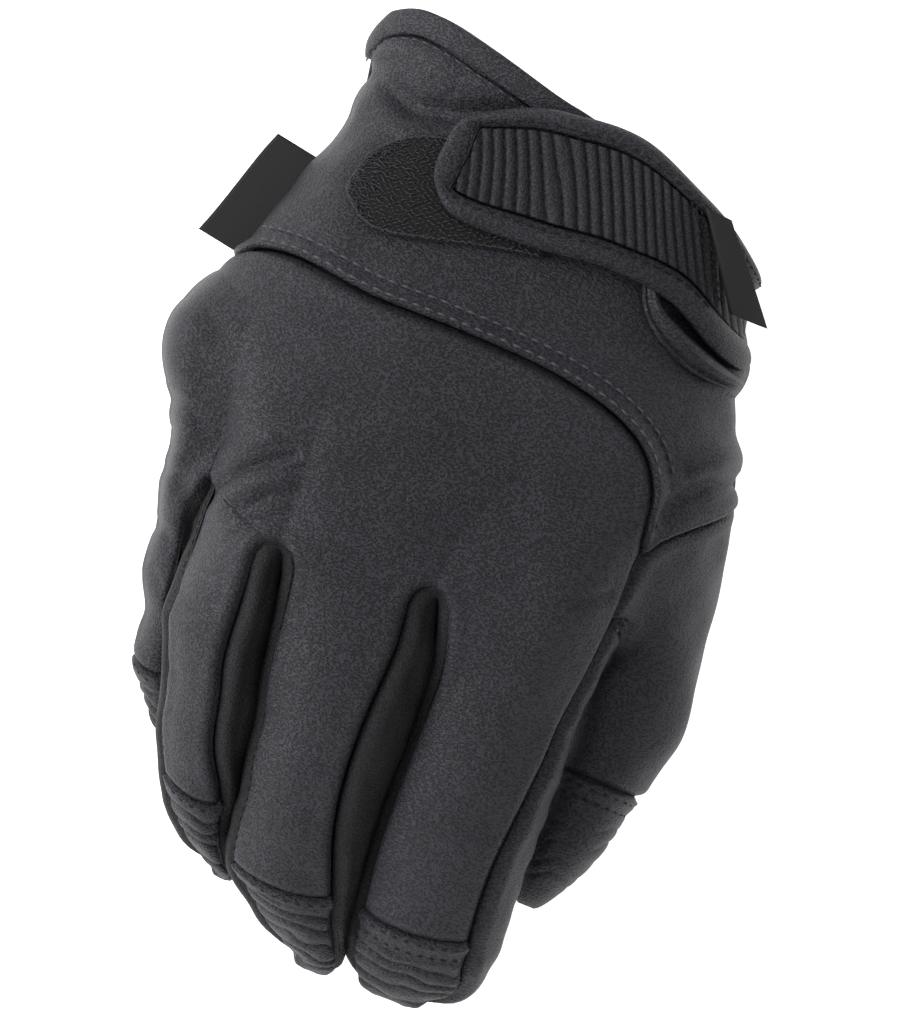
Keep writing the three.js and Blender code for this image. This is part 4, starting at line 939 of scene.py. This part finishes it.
rows = 100
cap_steps = np.linspace(THUMB_CAP + SEAM_GAP / 2 / THUMB_REACH, 0.9995, rows)[:, None]
outer, inner = (thumb_point(cap_steps, turns, deep).reshape(-1, 3) for deep in (0.0, LEATHER))
quads = grid_faces(rows - 1, ring, ring=True)
near = (rows - 1) * ring + np.arange(1, ring // 2 - 1)
far = (2 * rows - 1) * ring - near
across_end = np.stack([near + 1, far - 1, far, near], -1)
quads = np.concatenate([quads, across_end])
normals = outward(outer, quads, inner)
edge_gap = (cap_steps * THUMB_LENGTH - cap_steps[0] * THUMB_LENGTH + 0 * turns).ravel()
wander = 1.2 * ripples(outer, 12, 30)
ribs = np.abs(np.sin(np.pi * (edge_gap + wander) / (1.3 * RIB_PITCH))) ** 0.5
fade = ease((edge_gap - 5) / 3) * ease((edge_gap.max() - 3 - edge_gap) / 4)
lift = 0.45 * (ribs - 0.8) * fade + lapped(edge_gap, 0.6, 0.5, 3.0)
for row in THUMB_CAP_ROWS:
    lift -= 0.2 * np.exp(-(((edge_gap - row) / 0.45) ** 2))
cap_points = raised(outer, normals, lift)
thumb_cap_sheet = (cap_points, normals)
walled("thumb_cap", cap_points, inner, quads, glove_leather, "glove_leather", ["thumb_tip"])

# Wrist: a leather back panel that laps over the hand's, and a palm panel, seamed to it at both sides.
# The lap's edge is turned in and held down by two rows of topstitching.
HEM_DEPTH = 4.5
HEM_FOLD = 0.7
LAP_ROWS = (1.4, 4.1)  # rows of stitches, from the lap's edge
hem_share = HEM_DEPTH / CUFF_REACH
WRIST_FOLDS = [
    {"path": [(-51, 78), (-45, 76.5), (-38, 74.5), (-30, 76), (-22, 79.5), (-12, 84)], "depth": -2.3,
     "width": 2.4, "start": 0.25, "end": 0.85},
    {"path": [(-52, 71), (-45, 71.5), (-38, 69.5), (-31, 71)], "depth": 1.0, "width": 2.8},
    {"path": [(-52, 84), (-43, 84), (-32, 82)], "depth": 1.0, "width": 3.4},
    {"path": [(40, 13), (43, 19.5), (48, 25), (54, 28)], "depth": -2.2, "width": 1.8},
    {"path": [(43, 25), (48, 31), (53, 34)], "depth": 1.1, "width": 2.8},
    {"path": [(-56, 58), (-50, 62), (-45, 68)], "depth": -0.5, "width": 3.0},
    {"path": [(-60, 48), (-54, 50), (-49, 55)], "depth": -0.4, "width": 2.6},
    {"path": [(26, 56), (32, 54), (38, 51), (43, 50)], "depth": -3.0, "width": 2.6},
    {"path": [(42, 60), (43.5, 52), (44, 44)], "depth": 3.2, "width": 3.6},
    {"path": [(46, 44), (40, 41), (34, 38)], "depth": -0.5, "width": 2.0},
    {"path": [(50, 38), (44, 35), (39, 31)], "depth": -0.5, "width": 2.2},
    {"path": [(53, 28), (47, 26.5), (42, 23)], "depth": -0.7, "width": 2.0},
]


def wrist_sheets(first, last, cell):
    """From the hem to the wrist seam, in even steps at each angle."""
    angles = np.linspace(first, last, int(abs(first - last) / 360 * 300 / cell))
    end = read(WRIST_SEAM, "at", angles, by="angle") - SEAM_GAP / 2 / CUFF_REACH
    start = hem_share + SEAM_GAP / 2 / CUFF_REACH
    rows = np.linspace(0, 1, int(50 / cell))[:, None]
    at = mix(start, end[None], rows)
    sheets = [hand(at, angles[None], deep).reshape(-1, 3) for deep in (0.0, LEATHER)]
    return sheets[0], sheets[1], grid_faces(len(rows) - 1, len(angles) - 1)


for node, first, last, material, slot in (
    ("wrist_back", 187, -5, glove_leather, "glove_leather"),
    ("wrist_palm", -5.3, -172.7, palm_leather, "palm_leather"),
):
    cell = 0.7 if node == "wrist_back" else 1.1
    outer, inner, quads = wrist_sheets(first, last, cell)
    normals, edge_gap = sewn_sheet(outer, inner, quads)
    lift = sewn_edge(edge_gap, drop=0.6, width=0.6)
    if node == "wrist_back":
        columns = quads[0, 1]  # the second row's first point
        seam_gap = distance_to(outer, outer[-columns:])
        lift = np.where(seam_gap < 6, lapped(seam_gap, 1.0, 0.7, 3.0), lift)
        for row in LAP_ROWS:
            lift -= 0.22 * np.exp(-(((seam_gap - row) / 0.45) ** 2))
    lift += 0.2 * ripples(outer, 15, 12) * ease(edge_gap / 6) * ease(outer[:, 2] / 4)
    if node == "wrist_back":
        lift += folds(outer, WRIST_FOLDS)
    wrist_points = raised(outer, normals, lift)
    walled(node + "_panel", wrist_points, inner, quads, material, slot, [node])
    if node == "wrist_back":
        wrist_sheet = (wrist_points, normals)

# Topstitching of the wrist seam and the hem: grey thread, two rows over the lap and one beside the hem.
# The stitches are sunk at their ends, where the thread goes through the leather.


def plain_material(name, colour, roughness=0.7, sheen=0.3):
    """One plain colour: bonded nylon thread has a low, even sheen that sets it off from grained leather."""
    material, _, shader = new_material(name)
    shader.inputs["Base Color"].default_value = srgb(colour)
    shader.inputs["Roughness"].default_value = roughness
    shader.inputs["Specular IOR Level"].default_value = sheen
    return material


grey_thread = plain_material("grey_nylon_thread", "#46474e")
black_thread = plain_material("black_nylon_thread", "#121214")
seam_angles = np.linspace(157, 44, 300)
seam_line = hand(read(WRIST_SEAM, "at", seam_angles, by="angle") - SEAM_GAP / 2 / CUFF_REACH, seam_angles)
seam_way = unit(np.gradient(seam_line[:, :2], axis=0))
rows = []
for offset in LAP_ROWS:
    row = traced((seam_line[:, :2] + offset * seam_way[:, ::-1] * [-1, 1])[::12], 0.5)
    rows.append(stitches(*laid(row, wrist_sheet, 0.1), length=2.3, space=0.6, thick=0.6))
hem_turn = np.linspace(178, 12, 300)
hem_line = hand(np.full(300, hem_share + 0.6 / CUFF_REACH), hem_turn)
hem_row = traced(hem_line[::10, :2], 0.5)
rows.append(stitches(*laid(hem_row, wrist_sheet, 0.05), length=2.0, space=0.8, thick=0.4))
shaded("wrist_topstitching", *joined(rows), grey_thread, "tag_weave", [])

# Seam stitches of the fingers, caps and thumb: small black stitches beside every seam.
# They hold the turned edges down along the slots, and run in two rows over the thumb's cap.
rows = []
SEAM_STITCHES = {
    "finger": [1, 2, 2, 3, 3, 1],
    "right_edge": [True, False, True, False, True, False],
    "end": [0.78, 0.8, 0.8, 0.8, 0.8, 0.78],
}
for k, right_edge, end in zip(*SEAM_STITCHES.values()):
    places = np.linspace(0.02, end, 60)
    width = np.abs(finger_point(k, places, 1.0, 1)[:, 0] - finger_point(k, places, 0.0, 1)[:, 0])
    line = finger_point(k, places, 1 - 1 / width if right_edge else 1 / width, 1)
    rows.append(stitches(*laid(line[:, :2], back_sheet, 0.02), length=1.5, space=0.9, thick=0.34))
for k in range(4):
    share = np.linspace(0.06, 0.94, 40)
    for after in ([1.0, 2.9] if k == 3 else [1.0]):
        line = finger_point(k, cap_line(k, share) + after / finger_length(k), share, 1)
        rows.append(stitches(*laid(line[:, :2], cap_sheets[k], 0.02), length=1.6, space=0.9, thick=0.36))
for after in THUMB_CAP_ROWS:
    turn = np.linspace(3.55, 4.75, 50)
    line = thumb_point(cap_steps[0] + after / THUMB_LENGTH, turn % 4)
    rows.append(stitches(*laid(line[:, :2], thumb_cap_sheet, 0.02), length=1.7, space=0.9, thick=0.4))
shaded("seam_stitches", *joined(rows), black_thread, "tag_weave", [])

# Hem: the end of the leather turned over all round the cuff.
# It forms a soft roll that stands a little above the wrist.
ring = 400
hem_angles = np.linspace(0, 360, ring, endpoint=False)
rows = np.linspace(0, 1, 14)[:, None]
hem_at = (hem_share - SEAM_GAP / 2 / CUFF_REACH) * rows
puff = HEM_FOLD * np.sin(np.pi * np.clip(mix(0.04, 0.94, rows), 0, 1)) ** 0.5
wrapped = np.where(hem_angles > 187, hem_angles - 360, hem_angles)[None]
outer = hand(hem_at, wrapped, -puff).reshape(-1, 3)
inner = hand(hem_at, wrapped, LEATHER + puff).reshape(-1, 3)
quads = grid_faces(len(rows) - 1, ring, ring=True)
walled("cuff_hem_fold", outer, inner, quads, glove_leather, "glove_leather", ["cuff_hem"])

# Loop pad: the soft half of the hook-and-loop closure, woven in rows with standing loops.
# It is sewn flat on the wrist, and most of it lies under the strap.
PAD_THICK = 1.7
PAD_ROWS = {
    "at": [0.0, 0.08, 0.3, 0.6, 1.0],
    "angle": [137, 134.5, 125, 111, 88],
    "upper": [0.31, 0.272, 0.212, 0.172, 0.15],
    "lower": [0.36, 0.385, 0.41, 0.374, 0.295],
}


def pad_place(u, v):
    """Share of the hand's length and angle of a point of the pad, along it and across it."""
    upper, lower = read(PAD_ROWS, "upper", u), read(PAD_ROWS, "lower", u)
    return mix(upper, lower, v), read(PAD_ROWS, "angle", u) + 0 * v


def plain_fabric(name, colour, light, roughness, pitch, depth):
    """Woven nylon: two crossed sets of threads, dull, each thread's top painted slightly lighter as a
    highlight.
    """
    material, tree, shader = new_material(name)
    place = add_node(tree, "ShaderNodeTexCoord").outputs["Object"]
    threads = [
        add_node(
            tree, "ShaderNodeTexWave",
            {"Vector": place, "Scale": 1000 / pitch / 20 * math.pi, "Distortion": 0.6},
            wave_type="BANDS", bands_direction=direction,
        ).outputs["Fac"]
        for direction in ("X", "Y")
    ]
    weave = add_node(tree, "ShaderNodeMath", {0: threads[0], 1: threads[1]}, operation="MULTIPLY")
    # The lighter colour is a painted highlight on the threads' tops.
    tint_with_painted_light = add_node(
        tree, "ShaderNodeMixRGB",
        {"Fac": weave.outputs["Value"], "Color1": srgb(colour), "Color2": srgb(light)},
    )
    bump = add_node(tree, "ShaderNodeBump", {"Height": weave.outputs["Value"], "Distance": depth / 1000})
    tree.links.new(tint_with_painted_light.outputs["Color"], shader.inputs["Base Color"])
    tree.links.new(bump.outputs["Normal"], shader.inputs["Normal"])
    shader.inputs["Roughness"].default_value = roughness
    return material


loop_yarn = plain_fabric("black_loop_nylon", "#060607", "#121214", 0.9, 0.5, 0.1)
rows, columns = ((90, 40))
u, v = shares(rows, columns)
outer = hand(*pad_place(u, v), -(SEAM_GAP + PAD_THICK * 0.7)).reshape(-1, 3)
inner = hand(*pad_place(u, v), -SEAM_GAP).reshape(-1, 3)
quads = grid_faces(rows - 1, columns - 1)
walled("loop_pad_base", outer, inner, quads, loop_yarn, "loop_fuzz", ["loop_pad"])

loop_spots = []
for column, along in enumerate(np.linspace(0.02, 0.98, 46)):
    across = (np.arange(19) + 0.5 * (column % 2) + 0.4) / 19.5
    across = across[(along < 0.64) | (across > 0.72)]
    loop_spots.append(np.column_stack([np.full(len(across), along), across]))
edge_u = np.concatenate([np.linspace(0.6, 0.03, 80), np.full(26, 0.018), np.linspace(0.03, 0.98, 130)])
edge_v = np.concatenate([np.full(80, 0.02), np.linspace(0.03, 0.97, 26), np.full(130, 0.98)])
loop_spots.append(np.column_stack([edge_u, edge_v]))
spots = np.concatenate(loop_spots)
rng = np.random.default_rng(4)
spots[:, 0] += rng.normal(size=len(spots)) * 0.002
spots[:, 1] = np.clip(spots[:, 1] + rng.normal(size=len(spots)) * 0.008, 0.02, 0.98)
sunk = SEAM_GAP + PAD_THICK * 0.65
foot = hand(*pad_place(spots[:, 0], spots[:, 1]), -sunk)
up = unit(hand(*pad_place(spots[:, 0], spots[:, 1]), -(sunk + 1)) - foot)
way = unit(hand(*pad_place(spots[:, 0] + 0.01, spots[:, 1]), -sunk) - foot)
spin = rng.uniform(-0.8, 0.8, len(spots))[:, None]
aside = np.cross(up, way)
way = way * np.cos(spin) + aside * np.sin(spin)
aside = np.cross(up, way)
size = rng.uniform(0.85, 1.35, len(spots))[:, None, None]
bend = np.linspace(-0.15 * np.pi, 1.15 * np.pi, 7)[None, :, None]
arch = foot[:, None] + size * (0.42 * np.cos(bend) * way[:, None] + 0.62 * np.sin(bend) * up[:, None])
spread = 0.12 * size[..., None] * np.array([[0, 1], [0.87, -0.5], [-0.87, -0.5]])[None, None]
rings = arch[:, :, None] + spread[..., :1] * aside[:, None, None] + spread[..., 1:] * (
    np.sin(bend)[..., None] * up[:, None, None] + np.cos(bend)[..., None] * way[:, None, None])
one = grid_faces(6, 3, ring=True)
loop_quads = (one[None, :, ::-1] + 21 * np.arange(len(spots))[:, None, None]).reshape(-1, 4)
# The black loops are coloured grey, lighter than the pad's black base: a painted highlight on their lit
# tops.
painted_highlight_loop_nylon = plain_material("black_standing_loops_painted_highlight", "#434347")
shaded("loop_pad_loops", rings.reshape(-1, 3), loop_quads, painted_highlight_loop_nylon, "loop_fuzz", [])

# Closure strap: a ribbed insert inside a rolled leather edge, closing on the loop pad.
# The edge is sewn down round the insert with dark thread.
STRAP_THICK = 2.6
INSERT_THICK = 2.2
BINDING_WIDTH = 5.2
UPPER_BINDING = 4.2
STRAP_RIB_PITCH = 3.5
STRAP_RIB_LEAN = 0.07
STRAP_RIB_HEIGHT = 1.3
STRAP_TURN = 123.0  # degrees round the hand, for the length by which the ribs are counted
STRAP_END = 0.972
STRAP_ROWS = {
    "at": [0.0, 0.04, 0.12, 0.3, 0.5, 0.7, 0.85, 1.0],
    "angle": [117, 114.5, 107, 92, 75, 55, 32, -8],
    "upper": [0.19, 0.14, 0.095, 0.022, -0.024, -0.016, -0.01, 0.03],
    "lower": [0.215, 0.268, 0.306, 0.29, 0.252, 0.242, 0.28, 0.262],
}
INSERT_START = 0.092
STRAP_WIDTH = float(hand_length(75.0)) * (0.252 + 0.024)
BINDING_SHARE = BINDING_WIDTH / STRAP_WIDTH
UPPER_SHARE = UPPER_BINDING / STRAP_WIDTH


def strap_low(angle):
    """Height of the strap's underside over the leather: on the pad at its end, on the wrist at its root."""
    return mix(2 * SEAM_GAP + PAD_THICK, 1.5 * SEAM_GAP + HEM_FOLD, ease((70 - angle) / 55))


def strap_place(u, v):
    return mix(read(STRAP_ROWS, "upper", u), read(STRAP_ROWS, "lower", u), v), read(STRAP_ROWS, "angle", u)


def over_strap(at, angle, height):
    """A line at a height over the strap's underside, and the way up from there."""
    low = strap_low(angle)
    line = hand(at, angle, -(low + height))
    return line, unit(line - hand(at, angle, -low))


def lower_binding(u):
    """Where the binding starts across the strap: the roll widens by half towards the strap's root."""
    return 1 - BINDING_SHARE * (1 + 0.5 * ease((u - 0.5) / 0.3))


def binding_route(steps):
    """Outer and inner edge of the binding, as shares along and across the strap."""
    t = np.linspace(0, 1, steps)
    keys = [0, 0.42, 0.45, 0.475, 0.525, 0.55, 0.58, 1]
    outer_u = np.interp(t, keys, [1, 0.08, 0.03, 0, 0, 0.03, 0.08, 1])
    outer_v = np.interp(t, keys, [0, 0, 0, 0, 1, 1, 1, 1])
    inner_u = np.interp(t, keys, [1, 0.12, INSERT_START, INSERT_START, INSERT_START, INSERT_START, 0.12, 1])
    low_edge = 1 - BINDING_SHARE
    inner_v = np.interp(t, keys, 3 * [UPPER_SHARE] + [0.35, 0.6] + 3 * [low_edge])
    inner_v = np.where(t > 0.58, lower_binding(inner_u), inner_v)
    return outer_u, outer_v, inner_u, inner_v


steps = 420
across = np.linspace(0, 1, 20)[None]
outer_u, outer_v, inner_u, inner_v = (values[:, None] for values in binding_route(steps))
u, v = mix(outer_u, inner_u, across), mix(outer_v, inner_v, across)
at, angle = strap_place(u, v)
low = strap_low(angle)
swell = np.sin(np.pi * mix(0.06, 0.9, across)) ** 0.5
outer = hand(at, angle, -(low + STRAP_THICK * swell)).reshape(-1, 3)
inner = hand(at, angle, -low).reshape(-1, 3)
quads = grid_faces(steps - 1, across.size - 1)
walled("strap_edge_roll", outer, inner, quads, glove_leather, "glove_leather", ["strap_binding"])

ribbed_leather = grained_leather("ribbed_strap_leather", "#111114", "#2c2b31", 0.6, 0.4, 1.0, 0.12)
rows, columns = ((420, 40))
u, v = shares(rows, columns)
strap_length = math.radians(STRAP_TURN) * HAND_WIDTH * 0.5
along = mix(INSERT_START + SEAM_GAP / strap_length, STRAP_END, u)
edge = 1.8 * SEAM_GAP / STRAP_WIDTH
across = mix(UPPER_SHARE + edge, lower_binding(along) - edge, v)
at, angle = strap_place(along, across)
rib_lean = STRAP_RIB_LEAN * strap_length * (v - 0.5)
ribs = np.abs(np.sin(np.pi * (along * strap_length - rib_lean) / STRAP_RIB_PITCH)) ** 0.4
low = strap_low(angle)
flat_end = 1 - 0.55 * ease((along - 0.76) / 0.12)
outer = hand(at, angle, -(low + flat_end * (INSERT_THICK - STRAP_RIB_HEIGHT * (1 - ribs)))).reshape(-1, 3)
inner = hand(at, angle, -low).reshape(-1, 3)
quads = grid_faces(rows - 1, columns - 1)
walled("strap_ribbed_insert", outer, inner, quads, ribbed_leather, "ribbed_fabric", ["strap_insert"])

_, _, stitch_u, stitch_v = binding_route(400)
stitch_v = np.where(stitch_v < 0.5, stitch_v - 0.042, stitch_v + 0.042)
line, up = over_strap(*strap_place(stitch_u, stitch_v), 0.93 * STRAP_THICK)
strap_row = stitches(line[6:-40], up[6:-40], length=1.9, space=0.9, thick=0.45)
shaded("strap_stitches", *strap_row, black_thread, "tag_weave", [])

# Gusset under the strap's root: folded leather in a U round a dark opening.
# It lets the cuff spread when the strap is undone; its outer edge is turned in and sewn to the wrist.
GUSSET_THICK = 3.0
GUSSET_ROWS = {
    "at": [0.0, 0.12, 0.28, 0.45, 0.65, 0.82, 0.92, 1.0],
    "outer_angle": [64, 62, 57.5, 50, 39, 21, 5, -8],
    "outer": [0.225, 0.28, 0.319, 0.345, 0.355, 0.337, 0.318, 0.28],
    "inner_angle": [60, 57, 51, 43, 33, 20, 8, -2],
    "inner": [0.215, 0.255, 0.274, 0.285, 0.29, 0.291, 0.286, 0.266],
    "high": [0.5, 0.7, 0.9, 1, 1, 0.9, 0.6, 0.3],
}
rows, columns = ((130, 36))
u, v = shares(rows, columns)
at = mix(read(GUSSET_ROWS, "outer", u), read(GUSSET_ROWS, "inner", u), v)
angle = mix(read(GUSSET_ROWS, "outer_angle", u), read(GUSSET_ROWS, "inner_angle", u), v)
GUSSET_SWELL = {
    "across": [0, 0.04, 0.12, 0.19, 0.24, 0.34, 0.55, 0.8, 1],
    "high": [0, 0.3, 0.34, 0.2, 0.3, 0.62, 1, 0.85, 0.2],
}
swell = np.interp(v, GUSSET_SWELL["across"], GUSSET_SWELL["high"])
height = SEAM_GAP + 0.2 + GUSSET_THICK * read(GUSSET_ROWS, "high", u) * swell
outer = hand(at, angle, -height).reshape(-1, 3)
inner = hand(at, angle, -SEAM_GAP).reshape(-1, 3)
quads = grid_faces(rows - 1, columns - 1)
walled("strap_gusset_fold", outer, inner, quads, glove_leather, "glove_leather", ["strap_gusset"])

# Woven tags: one folded into the little finger's side seam, one sewn across the strap near its root.
# Both are plain black tape.
TAG_THICK = 1.1
tag_weave = plain_fabric("woven_tag_tape", "#19191b", "#242426", 0.8, 0.3, 0.04)
SIDE_TAG_WIDTH = 9.0
SIDE_TAG_LENGTH = 24.5
SIDE_TAG_START = 0.29
rows, columns = 40, 16
u, v = shares(rows, columns)
seam = hand(SIDE_TAG_START + SIDE_TAG_LENGTH / hand_length(180.0) * u, 180.0, -SEAM_GAP)
flat = seam + mix(-0.3, 1, v)[..., None] * np.array([-SIDE_TAG_WIDTH, 0.17 * SIDE_TAG_WIDTH, 0])
half = np.array([0, 0, TAG_THICK / 2])
quads = grid_faces(rows - 1, columns - 1)
top, bottom = (flat + half).reshape(-1, 3), (flat - half).reshape(-1, 3)
walled("side_seam_tag", top, bottom, quads, tag_weave, "tag_weave", ["side_tag"])

STRAP_TAG_WIDTH = 8.0
STRAP_TAG_LIFT = 3.5
STRAP_TAG_SKEW = 0.02


def strap_tag_seam(v):
    """The line across the strap along which its tag is sewn down: share of the hand's length, and angle."""
    return mix(0.012, 0.177, v), mix(53, 33.5, v)


turn = math.degrees(STRAP_TAG_WIDTH / (0.5 * HAND_WIDTH))
seam_at, seam_turn = strap_tag_seam(v)
at, angle = seam_at - STRAP_TAG_SKEW * u, seam_turn - turn * (1 + v / 2) * u
low = strap_low(seam_turn) + STRAP_THICK + SEAM_GAP + STRAP_TAG_LIFT * u * v
top = hand(at, angle, -(low + TAG_THICK)).reshape(-1, 3)
bottom = hand(at, angle, -low).reshape(-1, 3)
walled("strap_end_tag", top, bottom, quads, tag_weave, "tag_weave", ["strap_tag"])

at, angle = strap_tag_seam(np.linspace(0.06, 0.95, 40))
rows = [
    stitches(*over_strap(at, angle + turned, INSERT_THICK), length=1.2, space=0.7, thick=0.5)
    for turned in (1.6, 3.6, 5.6)
]
shaded("tag_stitches", *joined(rows), black_thread, "tag_weave", [])

# Studio: a white table lit from below, soft light from the left, and a long lens looking straight down.
# The picture's up is turned 22 degrees from the hand's length, as in the photograph.
VIEW_TURN = math.radians(22)
FRAME_HEIGHT = 0.2133
CAMERA_HEIGHT = 3.0

floor_mesh = bpy.data.meshes.new("table")
floor_mesh.from_pydata([(-3, -3, 0), (3, -3, 0), (3, 3, 0), (-3, 3, 0)], [], [(0, 1, 2, 3)])
white_table = plain_material("white_table", "#fafafa", 0.9, 0.5)
table_shader = white_table.node_tree.nodes["Principled BSDF"]
table_shader.inputs["Emission Color"].default_value = (1, 1, 1, 1)
table_shader.inputs["Emission Strength"].default_value = 0.9
floor_mesh.materials.append(white_table)
floor = bpy.data.objects.new("table", floor_mesh)
bpy.context.scene.collection.objects.link(floor)

LIGHTS = [
    {"name": "soft_left", "energy": 21.0, "size": 0.9, "place": (-1.25, -0.25, 0.75)},
    {"name": "soft_upper_left", "energy": 5.0, "size": 1.0, "place": (-0.5, 0.9, 1.3)},
]
for lamp in LIGHTS:
    data = bpy.data.lights.new(lamp["name"], "AREA")
    data.energy = lamp["energy"]
    data.size = lamp["size"]
    light = bpy.data.objects.new(lamp["name"], data)
    light.location = lamp["place"]
    aim = -np.array(lamp["place"])
    tilt = math.atan2(math.hypot(aim[0], aim[1]), -aim[2])
    light.rotation_euler = (tilt, 0, math.atan2(aim[1], aim[0]) - math.pi / 2)
    bpy.context.scene.collection.objects.link(light)

world = bpy.data.worlds.new("studio")
world.use_nodes = True
world.node_tree.nodes["Background"].inputs["Color"].default_value = (1, 1, 1, 1)
world.node_tree.nodes["Background"].inputs["Strength"].default_value = 0.54
bpy.context.scene.world = world

camera_data = bpy.data.cameras.new("view_from_above")
camera_data.sensor_fit = "VERTICAL"
camera_data.sensor_height = 24
camera_data.lens = 24 * CAMERA_HEIGHT / FRAME_HEIGHT
camera = bpy.data.objects.new("view_from_above", camera_data)
camera.location = (HEEL[0] / 1000, HEEL[1] / 1000, CAMERA_HEIGHT)
camera.rotation_euler = (0, 0, VIEW_TURN)
bpy.context.scene.collection.objects.link(camera)
bpy.context.scene.camera = camera
bpy.context.scene.view_settings.view_transform = "Standard"
